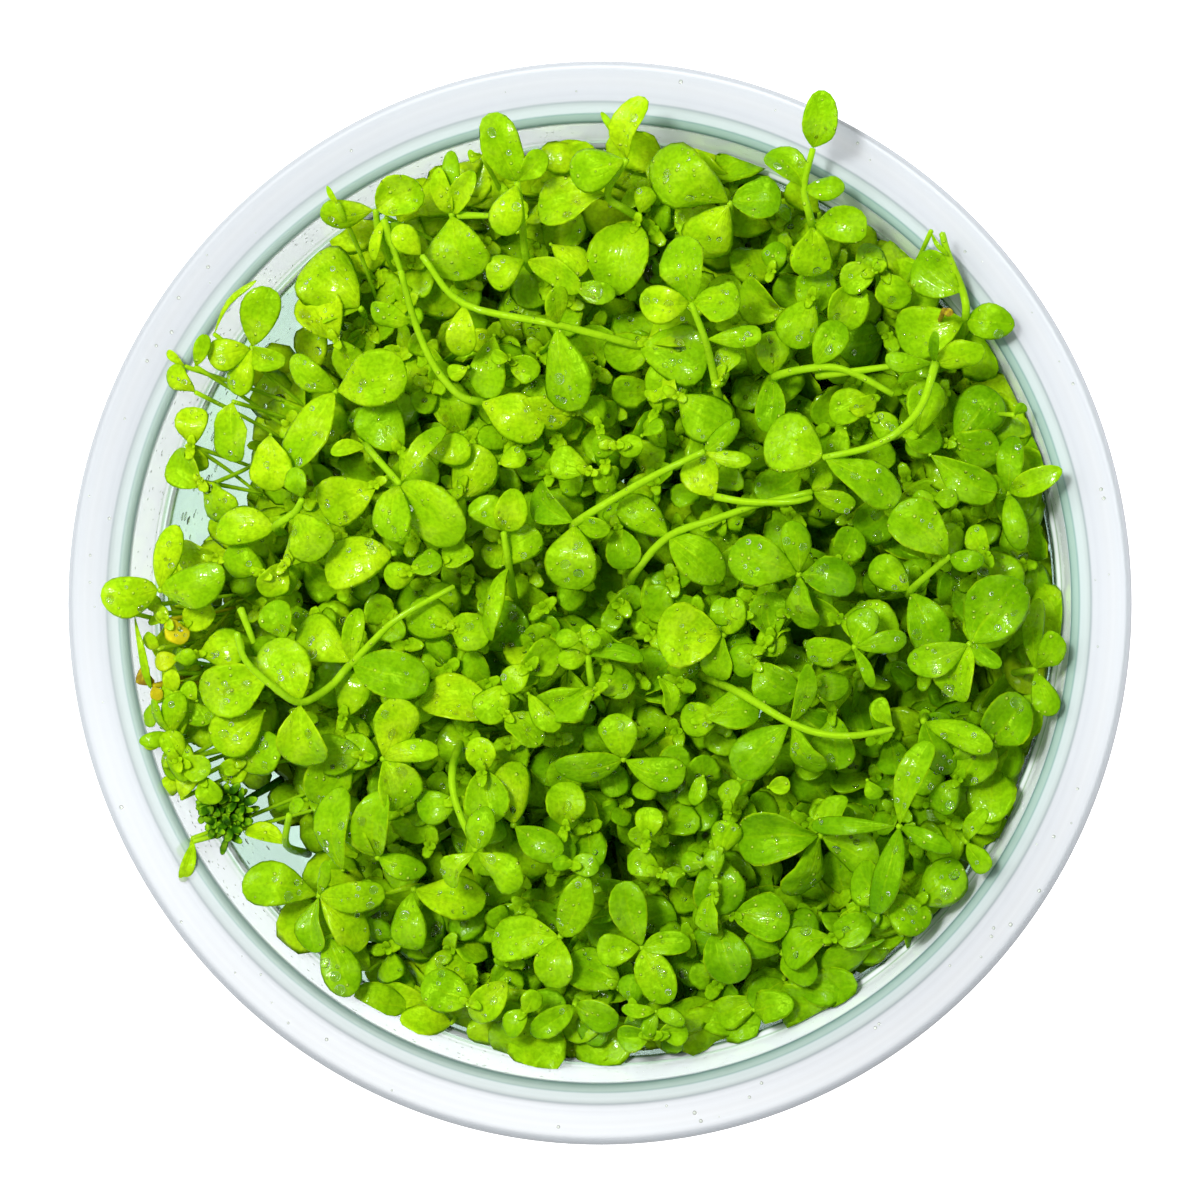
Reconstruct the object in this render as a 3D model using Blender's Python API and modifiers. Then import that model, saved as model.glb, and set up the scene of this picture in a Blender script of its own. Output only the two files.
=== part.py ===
# Pearlweed growing in a round clear tub: the tub, the gel it is rooted in, the mat of lower shoots,
# the shoots that stand out of the mat, and a tuft of moss at the tub's wall.
# Every size below is in millimetres. The meshes are in metres, with +Z up and the origin in the
# middle of the tub's underside.
import math

import bmesh
import bpy
from mathutils import Vector

MM = 0.001
GAP = 0.3               # clearance between pieces that touch
MERGE = 0.00001         # metres
# Edges shorter than the first of these that leaves a body closed are taken out of it.
SLIVERS = (0.1, 0.07, 0.04, 0.01)

# Tub
TUB_HEIGHT = 42.0
WALL = 0.8
RIM_RADIUS = 50.0       # outer edge of the flange
LIP_DROP = 1.8          # how far the flange's edge turns down
FLANGE_RADIUS = 45.9    # where the flange ends and the groove begins
FLANGE_Z = 41.05
THROAT_RADIUS = 44.5    # inner edge of the groove
THROAT_Z = 40.85
LEDGE_RADIUS = 43.2     # foot of the steep upper wall
LEDGE_Z = 35.6
BODY_RADIUS = 42.5      # top of the lower wall
BODY_Z = 35.0
FOOT_RADIUS = 39.0      # foot of the lower wall, inside
FOOT_CORNER = 2.2
TUB_STEPS = 32

# Gel
GEL_TOP = 12.0
GEL_STEPS = 32

# Mat of lower shoots
MAT_TOP = 35.0
MAT_FALL = 4.5          # how much lower the mat is near its edge
MAT_RADIUS = 40.8       # near its top, where there is no bite
MAT_FOOT_RADIUS = 39.3
MAT_STEPS = 24
MAT_RINGS = (0.0, 0.4, 0.68, 0.86)
MAT_BITES = ((138.0, 3.0), (168.0, 2.2), (214.0, 4.5))      # where it stands off the wall: degrees, depth
BITE_WIDTH = 17.0
MAT_LEAVES = 48
MAT_LEAF_LENGTH = 6.2
MAT_LEAF_WIDTH = 5.2
MAT_LEAF_RISE = 2.4
MAT_LEAF_SINK = 1.1
ROOT_CLEARANCE = 4.3    # no mat leaf grows nearer than this to a shoot's root
GOLDEN_ANGLE = math.radians(137.508)

# Shoots
STEM_RADIUS = 0.42
LEAF_THICKNESS = 1.0
LEAF_CROWN = 0.07       # rise of a leaf's middle, as a share of its length
LEAF_SET_IN = 0.12      # how deep a leaf's foot goes into its stem
MOSS_CENTRE = (-33.5, -19.3, 38.6)
MOSS_HEART = 1.5
MOSS_LEAF_LENGTH = 3.4
MOSS_LEAF_WIDTH = 1.1
MOSS_TIERS = ((-0.1, 6, 0.0), (1.0, 2, 0.5))       # slope, leaves, turn as a share of one step

# The places of shoots and leaves are read on the level READ_Z, as they look from EYE, and each is
# then slid along that line of sight to its own height.
READ_Z = 45.0
EYE = Vector((85.9, 0.0, 483.7))

# Each shoot has its stem's points (x, y, height) from the root up, and its leaves
# (stem point that carries it, tip x, tip y, tip height, width). ROOT stands for the mat's surface.
ROOT = None
SHOOTS = {
    "shoot_01": (
        [(6.0, 23.0, ROOT), (5.3, 23.5, 39.5), (-2.2, 25.5, 43.0), (-11.0, 27.5, 44.0),
         (-15.0, 32.0, 45.0)],
        [(1, 11.7, 21.6, 40.5, 5.8), (2, -1.2, 17.5, 43.0, 5.4), (2, -2.6, 28.9, 46.5, 2.6),
         (3, -11.6, 22.6, 43.0, 3.0), (4, -17.6, 34.6, 46.5, 2.6)],
    ),
    "shoot_02": (
        [(-7.6, 18.2, ROOT), (-9.6, 18.5, 39.5), (-11.6, 19.2, 41.0), (-14.0, 22.1, 42.0),
         (-15.7, 26.0, 43.0), (-17.0, 30.6, 45.5)],
        [(4, -19.9, 27.4, 44.0, 2.6), (1, -4.0, 15.6, 40.5, 4.6)],
    ),
    "shoot_03": (
        [(-5.0, 30.5, ROOT), (-5.2, 31.6, 40.0), (-5.7, 36.4, 45.0), (-6.0, 38.6, 46.5)],
        [(3, -8.3, 45.0, 49.0, 3.9), (3, -3.8, 41.6, 47.5, 2.4), (3, -7.6, 33.8, 46.5, 3.3),
         (1, -0.2, 28.6, 42.0, 3.2), (1, -8.6, 29.6, 41.5, 3.4)],
    ),
    "shoot_04": (
        [(-12.0, 33.6, ROOT), (-12.2, 35.8, 41.5)],
        [(1, -11.2, 29.6, 40.6, 6.4), (1, -13.9, 39.8, 44.0, 2.0), (1, -10.1, 39.7, 44.0, 2.2),
         (1, -12.3, 41.6, 43.0, 1.8)],
    ),
    "shoot_05": (
        [(7.6, 33.6, ROOT), (4.4, 35.8, 40.0), (2.4, 37.4, 42.5), (4.2, 40.5, 46.0)],
        [(2, -4.2, 36.0, 43.4, 4.6), (3, 5.6, 46.2, 49.0, 3.0), (3, -1.2, 39.6, 46.6, 4.2),
         (3, 2.2, 45.0, 48.0, 0.8)],
    ),
    "shoot_06": (
        [(13.0, 32.5, ROOT), (13.8, 36.4, 42.5)],
        [(1, 6.6, 40.6, 44.5, 6.0), (1, 18.4, 36.4, 43.6, 4.2), (1, 10.6, 31.6, 41.0, 5.0)],
    ),
    "shoot_07": (
        [(21.2, 31.5, ROOT), (21.3, 34.4, 42.5), (20.6, 37.6, 45.0), (21.4, 41.2, 46.5)],
        [(3, 22.6, 46.3, 49.5, 3.3), (2, 17.4, 41.0, 46.5, 3.2), (2, 24.2, 37.6, 46.0, 2.4),
         (1, 26.4, 34.2, 44.0, 3.5), (1, 20.8, 29.6, 42.0, 4.2)],
    ),
    "shoot_08": (
        [(34.0, 22.0, ROOT), (35.3, 25.6, 42.0), (35.1, 28.0, 43.5), (33.7, 31.6, 45.0),
         (33.2, 33.4, 45.5)],
        [(1, 39.4, 24.8, 44.0, 3.4), (1, 29.0, 24.0, 41.5, 5.0), (2, 30.8, 31.2, 44.2, 4.6)],
    ),
    "shoot_09": (
        [(32.0, 20.2, ROOT), (32.6, 21.7, 45.5), (31.5, 18.2, 47.2), (29.7, 15.9, 48.0),
         (26.8, 14.2, 48.4), (22.4, 13.2, 48.0)],
        [(1, 28.0, 22.1, 46.5, 1.9), (1, 36.8, 22.8, 47.0, 2.9), (1, 32.4, 24.4, 49.5, 1.0),
         (5, 17.2, 15.6, 48.0, 5.8), (5, 29.4, 9.3, 47.5, 3.9)],
    ),
    "shoot_10": (
        [(17.7, 20.0, ROOT), (17.8, 20.5, 39.5), (19.8, 21.1, 41.5), (22.9, 21.4, 42.6),
         (25.4, 20.7, 42.6), (28.7, 18.9, 42.0)],
        [(1, 17.2, 24.6, 41.0, 3.4), (1, 17.0, 15.6, 40.5, 3.0)],
    ),
    "shoot_11": (
        [(-0.6, 6.8, ROOT), (-0.6, 7.3, 42.5), (4.5, 10.4, 44.0), (7.9, 12.2, 44.5),
         (11.4, 13.8, 45.0)],
        [(1, -1.2, 1.3, 43.5, 5.0), (1, 2.4, 6.7, 44.0, 2.4), (1, -4.6, 10.6, 41.4, 3.4),
         (4, 14.5, 16.6, 46.0, 1.9), (4, 15.8, 13.1, 45.6, 1.7)],
    ),
    "shoot_12": (
        [(4.0, 1.6, ROOT), (5.0, 2.8, 39.0), (8.1, 6.1, 41.0), (12.6, 7.7, 42.0), (16.9, 9.1, 42.8),
         (21.3, 10.1, 43.0)],
        [(2, 3.6, 9.3, 41.6, 3.5), (2, 13.4, 2.4, 40.6, 4.2), (5, 22.9, 11.9, 44.0, 1.7),
         (5, 25.4, 9.2, 42.5, 2.2)],
    ),
    "shoot_13": (
        [(13.0, -2.6, ROOT), (13.2, -2.9, 41.0)],
        [(1, 7.0, -2.6, 43.0, 6.2), (1, 14.6, 0.4, 43.0, 2.6), (1, 12.6, -7.0, 40.0, 3.2)],
    ),
    "shoot_14": (
        [(20.1, 1.8, ROOT), (20.1, 2.6, 45.5)],
        [(1, 13.6, 4.1, 47.0, 4.8), (1, 19.4, 7.4, 47.5, 2.8), (1, 25.2, 1.6, 46.5, 3.6),
         (1, 20.6, -2.6, 43.0, 3.6)],
    ),
    "shoot_15": (
        [(30.2, 0.6, ROOT), (30.3, 1.1, 42.0), (33.8, 4.2, 46.5)],
        [(1, 27.0, 4.0, 43.0, 3.4), (1, 33.2, -4.6, 42.5, 4.0), (2, 28.4, 8.0, 48.5, 4.8),
         (2, 36.8, 3.4, 47.5, 2.2)],
    ),
    "shoot_16": (
        [(34.6, -4.6, ROOT), (35.7, -3.7, 47.5)],
        [(1, 40.4, 1.8, 48.0, 5.8), (1, 30.1, -5.7, 48.0, 3.2), (1, 34.4, -8.8, 46.5, 4.4),
         (1, 38.4, -5.6, 49.0, 1.6)],
    ),
    "shoot_17": (
        [(10.4, -6.6, ROOT), (14.5, -8.1, 41.5), (19.4, -10.9, 44.0), (22.5, -11.9, 44.6),
         (25.3, -12.0, 44.6), (28.8, -11.4, 44.0)],
        [(2, 20.9, -5.6, 47.5, 2.0), (2, 14.0, -15.3, 43.4, 4.2), (2, 21.5, -15.7, 42.6, 3.2),
         (5, 27.4, -8.6, 45.0, 1.8)],
    ),
    "shoot_18": (
        [(31.4, -10.0, ROOT), (31.5, -10.7, 42.0)],
        [(1, 37.8, -13.2, 43.6, 2.8), (1, 33.8, -15.6, 40.5, 3.0)],
    ),
    "shoot_19": (
        [(29.0, -20.6, ROOT), (29.3, -20.2, 44.0)],
        [(1, 31.8, -12.7, 46.5, 2.8), (1, 27.6, -28.3, 44.0, 3.0), (1, 34.0, -22.4, 46.5, 1.9),
         (1, 21.0, -20.2, 43.6, 1.8)],
    ),
    "shoot_20": (
        [(33.6, -20.0, ROOT), (35.4, -21.5, 42.5)],
        [(1, 37.0, -18.6, 45.0, 1.7), (1, 37.4, -24.0, 43.5, 2.3)],
    ),
    "shoot_21": (
        [(22.2, -21.4, ROOT), (22.1, -21.1, 39.5)],
        [(1, 14.4, -21.4, 40.6, 5.2), (1, 27.2, -23.8, 39.5, 4.0), (1, 19.6, -27.0, 38.4, 4.0),
         (1, 24.2, -17.4, 40.6, 2.7)],
    ),
    "shoot_22": (
        [(18.4, -31.4, ROOT), (18.6, -31.8, 38.0)],
        [(1, 15.2, -30.4, 39.5, 2.8), (1, 21.4, -28.0, 37.5, 3.2), (1, 21.4, -34.2, 39.5, 3.2)],
    ),
    "shoot_23": (
        [(-19.2, -3.2, ROOT), (-21.7, -5.6, 40.5), (-23.8, -7.8, 42.5), (-26.6, -9.2, 45.0),
         (-29.2, -7.7, 47.3), (-31.8, -5.3, 48.4), (-32.6, -2.8, 49.0)],
        [(3, -25.5, -15.1, 45.0, 4.8), (3, -28.9, -3.2, 44.0, 5.0), (1, -21.0, -0.7, 42.0, 2.1),
         (1, -26.2, -1.4, 40.0, 4.4), (1, -14.4, -6.8, 42.5, 4.6)],
    ),
    "shoot_24": (
        [(-35.2, 1.4, ROOT), (-38.2, 1.3, 41.5), (-40.1, 1.2, 44.5)],
        [(2, -45.8, 0.9, 46.5, 4.0), (2, -34.0, 2.2, 46.5, 4.2), (2, -38.8, 7.2, 46.5, 2.7)],
    ),
    "shoot_25": (
        [(-28.6, 6.4, ROOT), (-29.0, 7.0, 42.0), (-27.1, 8.4, 44.0), (-26.4, 9.6, 45.0)],
        [(1, -34.7, 7.0, 43.0, 3.8), (3, -27.0, 12.5, 46.5, 2.3), (2, -24.2, 4.6, 44.2, 4.8)],
    ),
    "shoot_26": (
        [(-23.2, 18.0, ROOT), (-23.2, 19.6, 41.5)],
        [(1, -27.4, 22.7, 43.5, 2.9), (1, -16.8, 21.0, 44.0, 5.4), (1, -27.8, 12.6, 41.5, 4.4)],
    ),
    "shoot_27": (
        [(-29.6, 21.6, ROOT), (-31.2, 23.7, 40.5)],
        [(1, -29.3, 29.1, 43.0, 3.8), (1, -35.4, 22.8, 42.0, 3.2), (1, -33.0, 19.4, 40.5, 3.0),
         (1, -28.4, 22.2, 42.5, 2.4)],
    ),
    "shoot_28": (
        [(-17.6, 29.6, ROOT), (-18.9, 33.6, 40.0), (-19.4, 36.3, 42.5)],
        [(2, -24.7, 35.7, 43.5, 3.5), (2, -15.2, 38.6, 43.5, 4.2)],
    ),
    "shoot_29": (
        [(-20.8, 26.0, ROOT), (-20.8, 27.2, 39.0)],
        [(1, -26.0, 31.5, 40.0, 6.6), (1, -26.6, 25.8, 38.5, 2.4)],
    ),
    "shoot_30": (
        [(-20.8, 14.6, ROOT), (-20.2, 14.4, 41.5), (-17.1, 11.0, 45.0)],
        [(1, -23.6, 14.0, 43.0, 1.6), (2, -11.3, 6.1, 45.5, 5.8), (2, -17.6, 5.6, 46.8, 4.0),
         (2, -13.2, 16.6, 44.0, 2.0)],
    ),
    "shoot_31": (
        [(-17.6, 4.8, ROOT), (-17.7, 4.6, 40.5)],
        [(1, -24.3, 2.6, 41.5, 5.0)],
    ),
    "shoot_32": (
        [(-6.8, -0.6, ROOT), (-6.8, 3.4, 41.0), (-7.3, 6.5, 43.0)],
        [(2, -9.9, 9.6, 44.0, 3.2), (2, -5.8, 10.2, 44.5, 3.2), (1, -8.9, -3.4, 40.5, 2.4)],
    ),
    "shoot_33": (
        [(1.5, -10.0, ROOT), (1.0, -7.5, 40.5), (0.6, -4.9, 42.5)],
        [(2, -2.2, -5.2, 43.5, 2.0), (2, 5.7, -4.8, 43.5, 1.8), (2, 0.6, -2.0, 43.5, 1.8),
         (1, -4.4, -8.6, 41.0, 1.6)],
    ),
    "shoot_34": (
        [(3.9, -13.6, ROOT), (3.9, -14.3, 41.0)],
        [(1, -2.5, -15.3, 42.0, 3.5), (1, 9.5, -15.8, 42.0, 3.5), (1, 3.4, -10.2, 42.5, 3.8)],
    ),
    "shoot_35": (
        [(-15.4, -9.6, ROOT), (-15.4, -9.3, 39.0)],
        [(1, -8.8, -9.1, 40.0, 4.6)],
    ),
    "shoot_36": (
        [(-18.8, -14.8, ROOT), (-18.7, -14.4, 43.0)],
        [(1, -17.6, -9.0, 45.0, 4.6), (1, -13.6, -13.4, 44.0, 2.3), (1, -16.9, -19.0, 42.5, 4.6)],
    ),
    "shoot_37": (
        [(-19.0, -24.0, ROOT), (-19.2, -23.5, 41.5)],
        [(1, -19.4, -17.6, 44.5, 3.8), (1, -22.9, -20.0, 43.0, 2.2), (1, -14.6, -24.6, 41.0, 2.6)],
    ),
    "shoot_38": (
        [(-24.6, -25.2, ROOT), (-24.8, -27.1, 41.0)],
        [(1, -32.2, -26.2, 43.0, 4.4), (1, -18.6, -26.8, 42.0, 3.2), (1, -25.2, -32.4, 42.0, 3.0),
         (1, -20.2, -31.8, 39.5, 4.0), (1, -24.0, -24.0, 43.5, 1.4)],
    ),
    "shoot_39": (
        [(-26.6, -23.4, ROOT), (-27.9, -22.4, 40.0), (-27.6, -19.6, 44.0)],
        [(2, -26.4, -18.2, 45.0, 1.4), (1, -31.6, -20.6, 40.0, 2.2)],
    ),
    "shoot_40": (
        [(-15.6, -26.4, ROOT), (-15.8, -26.4, 38.5)],
        [(1, -9.2, -27.4, 39.0, 4.4), (1, -16.4, -32.0, 38.0, 3.8)],
    ),
    "shoot_41": (
        [(-11.6, -11.8, ROOT), (-12.1, -15.1, 41.5), (-11.8, -18.4, 43.0), (-9.9, -22.8, 44.5)],
        [(3, -9.0, -18.9, 46.0, 2.8), (3, -12.6, -26.0, 44.0, 2.8), (3, -5.6, -26.0, 45.0, 3.6)],
    ),
    "shoot_42": (
        [(-6.3, -20.0, ROOT), (-6.4, -20.4, 40.0)],
        [(1, -2.1, -23.4, 41.0, 3.2), (1, -6.2, -14.6, 40.5, 3.8)],
    ),
    "shoot_43": (
        [(-2.4, -30.4, ROOT), (-2.0, -30.6, 40.0)],
        [(1, -3.0, -35.2, 41.5, 3.8), (1, -8.6, -31.6, 39.5, 4.4), (1, 0.4, -25.4, 43.5, 3.4)],
    ),
    "shoot_44": (
        [(5.6, -31.0, ROOT), (5.6, -31.5, 39.5)],
        [(1, 4.3, -25.4, 41.5, 3.6), (1, 1.4, -32.0, 40.5, 3.2), (1, 8.4, -36.4, 39.5, 3.8),
         (1, 10.2, -31.2, 39.5, 2.4)],
    ),
    "shoot_45": (
        [(-0.6, -35.2, ROOT), (-0.6, -36.8, 38.5)],
        [(1, 3.2, -38.4, 40.0, 3.2), (1, -4.6, -39.6, 40.5, 2.6)],
    ),
    "shoot_46": (
        [(37.0, 9.0, ROOT), (39.2, 9.9, 41.5)],
        [(1, 40.4, 4.8, 42.0, 2.4), (1, 39.6, 15.0, 42.5, 2.6), (1, 43.8, 12.2, 44.5, 2.4),
         (1, 36.4, 10.8, 43.5, 1.8)],
    ),
    "shoot_47": (
        [(37.6, -6.6, ROOT), (41.6, -6.0, 41.5)],
        [(1, 44.0, -3.0, 44.0, 2.6), (1, 43.0, -10.2, 42.5, 2.6), (1, 42.2, 0.2, 43.0, 2.0)],
    ),
    "shoot_48": (
        [(-34.6, -10.6, ROOT), (-38.9, -12.4, 42.0)],
        [(1, -38.4, -8.3, 43.5, 2.5), (1, -41.9, -13.0, 44.0, 1.6), (1, -37.6, -16.6, 42.5, 2.8),
         (1, -41.0, -9.0, 44.0, 1.6)],
    ),
    "shoot_49": (
        [(13.4, 16.8, ROOT), (12.8, 18.5, 40.0), (12.1, 21.6, 43.0), (11.5, 24.0, 45.0), (10.2, 27.3, 46.5)],
        [(4, 9.1, 33.4, 48.0, 4.3), (4, 5.4, 27.8, 47.5, 3.6), (4, 14.7, 26.9, 47.0, 4.6),
         (3, 16.6, 24.5, 46.0, 2.2)],
    ),
    "shoot_50": (
        [(25.6, -5.6, ROOT), (25.2, -4.0, 46.5)],
        [(1, 20.8, -4.4, 47.5, 3.0), (1, 26.8, -0.6, 47.0, 3.0), (1, 30.0, -3.6, 46.5, 2.2),
         (1, 26.9, -7.6, 46.5, 1.2)],
    ),
}


def along_sight(x, y, z):
    """The point at height z that is seen at x, y on the reading level."""
    reach = (EYE.z - z) / (EYE.z - READ_Z)
    return Vector((EYE.x + (x - EYE.x) * reach, EYE.y + (y - EYE.y) * reach, z))


def edge_radius(azimuth):
    """Radius of the mat at an azimuth in radians."""
    radius = MAT_RADIUS
    for centre, depth in MAT_BITES:
        off = (math.degrees(azimuth) - centre + 180.0) % 360.0 - 180.0
        radius -= depth * math.exp(-((off / BITE_WIDTH) ** 2))
    return radius


def mat_height(x, y):
    """Height of the mat's top, leaves apart."""
    share = math.hypot(x, y) / edge_radius(math.atan2(y, x))
    return MAT_TOP - MAT_FALL * share ** 4


def root_point(x, y):
    """Where a shoot seen at x, y on the reading level comes out of the mat."""
    point = along_sight(x, y, MAT_TOP)
    for _ in range(3):
        point = along_sight(x, y, mat_height(point.x, point.y) + GAP)
    return point


def material(name, color, roughness, transmission=0.0):
    made = bpy.data.materials.new(name)
    made.use_nodes = True
    shader = made.node_tree.nodes["Principled BSDF"]
    shader.inputs["Base Color"].default_value = (*color, 1.0)
    shader.inputs["Roughness"].default_value = roughness
    shader.inputs["Metallic"].default_value = 0.0
    shader.inputs["Transmission Weight"].default_value = transmission
    made.diffuse_color = (*color, 1.0)
    return made


def add_node(name, mesh, surface, collection, smooth_angle=40.0):
    """Put a finished mesh into the model as one node."""
    mesh.name = name
    mesh.materials.clear()
    mesh.materials.append(surface)
    mesh.shade_smooth()
    mesh.set_sharp_from_angle(angle=math.radians(smooth_angle))
    node = bpy.data.objects.new(name, mesh)
    collection.objects.link(node)
    return node


def evaluated_mesh(obj):
    """The mesh of an object with its modifiers applied. The object is removed."""
    bpy.context.scene.collection.objects.link(obj)
    bpy.context.view_layer.update()
    graph = bpy.context.evaluated_depsgraph_get()
    mesh = bpy.data.meshes.new_from_object(obj.evaluated_get(graph))
    bpy.data.objects.remove(obj)
    return mesh


def weld(mesh, distance):
    """Take out the edges shorter than a distance in metres. Returns True when the mesh is closed."""
    cage = bmesh.new()
    cage.from_mesh(mesh)
    bmesh.ops.remove_doubles(cage, verts=cage.verts, dist=distance)
    bmesh.ops.dissolve_degenerate(cage, edges=cage.edges, dist=MERGE)
    bmesh.ops.triangulate(cage, faces=cage.faces)
    bmesh.ops.recalc_face_normals(cage, faces=cage.faces)
    closed = all(piece.is_manifold for piece in [*cage.edges, *cage.verts])
    cage.to_mesh(mesh)
    cage.free()
    return closed


def turned(profile, steps):
    """Turn a half section, given in millimetres, about the Z axis."""
    line = bpy.data.meshes.new("profile")
    points = [(radius * MM, 0.0, height * MM) for radius, height in profile]
    line.from_pydata(points, [(i, i + 1) for i in range(len(points) - 1)], [])
    obj = bpy.data.objects.new("profile", line)
    screw = obj.modifiers.new("turn", "SCREW")
    screw.axis = "Z"
    screw.steps = steps
    screw.render_steps = steps
    screw.use_merge_vertices = True
    screw.merge_threshold = MERGE
    return evaluated_mesh(obj)


def arc(centre_radius, centre_z, size, start, end, count):
    """Points on an arc, angles in degrees from +X towards +Z."""
    points = []
    for i in range(count + 1):
        angle = math.radians(start + (end - start) * i / count)
        points.append((centre_radius + size * math.cos(angle), centre_z + size * math.sin(angle)))
    return points


def tub_profile():
    """From the middle of the floor up the inside, over the rim and down the outside."""
    inner_corner = FOOT_CORNER
    outer_corner = FOOT_CORNER + WALL
    corner_radius = FOOT_RADIUS - FOOT_CORNER
    inside = [(0.0, WALL)]
    inside += arc(corner_radius, WALL + inner_corner, inner_corner, -90.0, 0.0, 2)
    inside += [(BODY_RADIUS, BODY_Z), (LEDGE_RADIUS, LEDGE_Z), (THROAT_RADIUS, THROAT_Z)]
    inside += [(FLANGE_RADIUS, FLANGE_Z), (RIM_RADIUS - 0.5 * WALL, TUB_HEIGHT)]
    lip = [(RIM_RADIUS, TUB_HEIGHT - 0.5 * WALL), (RIM_RADIUS, TUB_HEIGHT - LIP_DROP)]
    lip += [(RIM_RADIUS - WALL, TUB_HEIGHT - LIP_DROP), (RIM_RADIUS - WALL, TUB_HEIGHT - WALL)]
    outside = [(FLANGE_RADIUS, FLANGE_Z - WALL), (THROAT_RADIUS + WALL, THROAT_Z - WALL)]
    outside += [(LEDGE_RADIUS + WALL, LEDGE_Z - 0.5 * WALL), (BODY_RADIUS + WALL, BODY_Z - WALL)]
    outside += arc(corner_radius, outer_corner, outer_corner, 0.0, -90.0, 2)
    return inside + lip + outside + [(0.0, 0.0)]


def inner_radius(z):
    """Radius of the tub's lower wall, inside, at a height."""
    foot_z = WALL + FOOT_CORNER
    return FOOT_RADIUS + (BODY_RADIUS - FOOT_RADIUS) * (z - foot_z) / (BODY_Z - foot_z)


def gel_profile():
    low = WALL + GAP
    corner_z = WALL + FOOT_CORNER
    return [
        (0.0, GEL_TOP), (inner_radius(GEL_TOP) - GAP, GEL_TOP), (FOOT_RADIUS - GAP, corner_z),
        (FOOT_RADIUS - FOOT_CORNER, low), (0.0, low),
    ]


def leaf_outline(share):
    """Half width of an obovate leaf, as a share of its full half width, along its length from 0 to 1."""
    return math.sin(math.pi * share ** 1.2) ** 0.7


def add_leaf(cage, foot, tip, width, thickness=LEAF_THICKNESS, crown=LEAF_CROWN):
    """Shape a small icosphere into one leaf between two points, in millimetres."""
    axis = (tip - foot).normalized()
    foot = foot - axis * LEAF_SET_IN
    length = (tip - foot).length
    normal = (Vector((0.0, 0.0, 1.0)) - axis * axis.z).normalized()
    side = normal.cross(axis)
    ball = bmesh.ops.create_icosphere(cage, subdivisions=1, radius=1.0)
    for vert in ball["verts"]:
        across = vert.co.copy()
        around = math.atan2(across.y, -across.x)
        share = 0.5
        half = 0.0
        if abs(across.z) < 0.9:
            share = 0.5 - 0.5 * math.cos(around)
            half = math.copysign(0.5 * width * leaf_outline(share), math.sin(around))
            half = 0.0 if abs(math.sin(around)) < 0.01 else half
        lift = 0.5 * thickness * across.z + crown * length * 4.0 * share * (1.0 - share)
        vert.co = (foot + axis * (length * share) + side * half + normal * lift) * MM


def leaf_cutter(leaves):
    """One object that holds all of a shoot's leaves: (foot, tip, width) in millimetres."""
    cage = bmesh.new()
    for foot, tip, width in leaves:
        add_leaf(cage, foot, tip, width)
    mesh = bpy.data.meshes.new("leaves")
    cage.to_mesh(mesh)
    cage.free()
    return bpy.data.objects.new("leaves", mesh)


def joined(mesh, extra):
    """Union of a mesh with another object's overlapping bodies. The other object is removed."""
    obj = bpy.data.objects.new("body", mesh)
    bpy.context.scene.collection.objects.link(extra)
    union = obj.modifiers.new("join", "BOOLEAN")
    union.operation = "UNION"
    union.solver = "EXACT"
    union.use_self = True
    union.object = extra
    result = evaluated_mesh(obj)
    bpy.data.objects.remove(extra)
    for size in SLIVERS:
        tidy = result.copy()
        if weld(tidy, size * MM):
            return tidy
    return result


def stem_mesh(points):
    """A round stem through the points, in millimetres."""
    curve = bpy.data.curves.new("stem", "CURVE")
    curve.dimensions = "3D"
    curve.bevel_depth = STEM_RADIUS * MM
    curve.bevel_resolution = 0
    curve.use_fill_caps = True
    spline = curve.splines.new("POLY")
    spline.points.add(len(points) - 1)
    for knot, point in zip(spline.points, points):
        knot.co = (*(point * MM), 1.0)
    mesh = evaluated_mesh(bpy.data.objects.new("stem", curve))
    weld(mesh, MERGE)
    return mesh


def shoot_points(knots):
    """The stem's points in space, the root set on the mat."""
    points = []
    for x, y, z in knots:
        points.append(root_point(x, y) if z is ROOT else along_sight(x, y, z))
    return points


def build_tub(collection):
    surface = material("clear_plastic", (0.86, 0.93, 0.93), 0.08, transmission=0.9)
    add_node("tub", turned(tub_profile(), TUB_STEPS), surface, collection)


def build_gel(collection):
    surface = material("clear_gel", (0.90, 0.92, 0.84), 0.15, transmission=0.8)
    add_node("gel", turned(gel_profile(), GEL_STEPS), surface, collection)


def mat_leaves(roots):
    """Leaves that lie on the mat on a sunflower spiral, none of them where a shoot comes up."""
    leaves = []
    for i in range(MAT_LEAVES):
        azimuth = i * GOLDEN_ANGLE
        radius = 0.9 * edge_radius(azimuth) * math.sqrt((i + 0.5) / MAT_LEAVES)
        heading = azimuth + 2.3 * i
        middle = Vector((radius * math.cos(azimuth), radius * math.sin(azimuth), 0.0))
        step = Vector((math.cos(heading), math.sin(heading), 0.0)) * (0.5 * MAT_LEAF_LENGTH)
        if any((root.xy - middle.xy).length < ROOT_CLEARANCE for root in roots):
            continue
        foot = middle - step
        tip = middle + step
        foot.z = mat_height(foot.x, foot.y) - MAT_LEAF_SINK
        tip.z = mat_height(middle.x, middle.y) + MAT_LEAF_RISE
        if max(tip.xy.length, foot.xy.length) > edge_radius(azimuth):
            continue
        leaves.append((foot, tip, MAT_LEAF_WIDTH))
    return leaves


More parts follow.
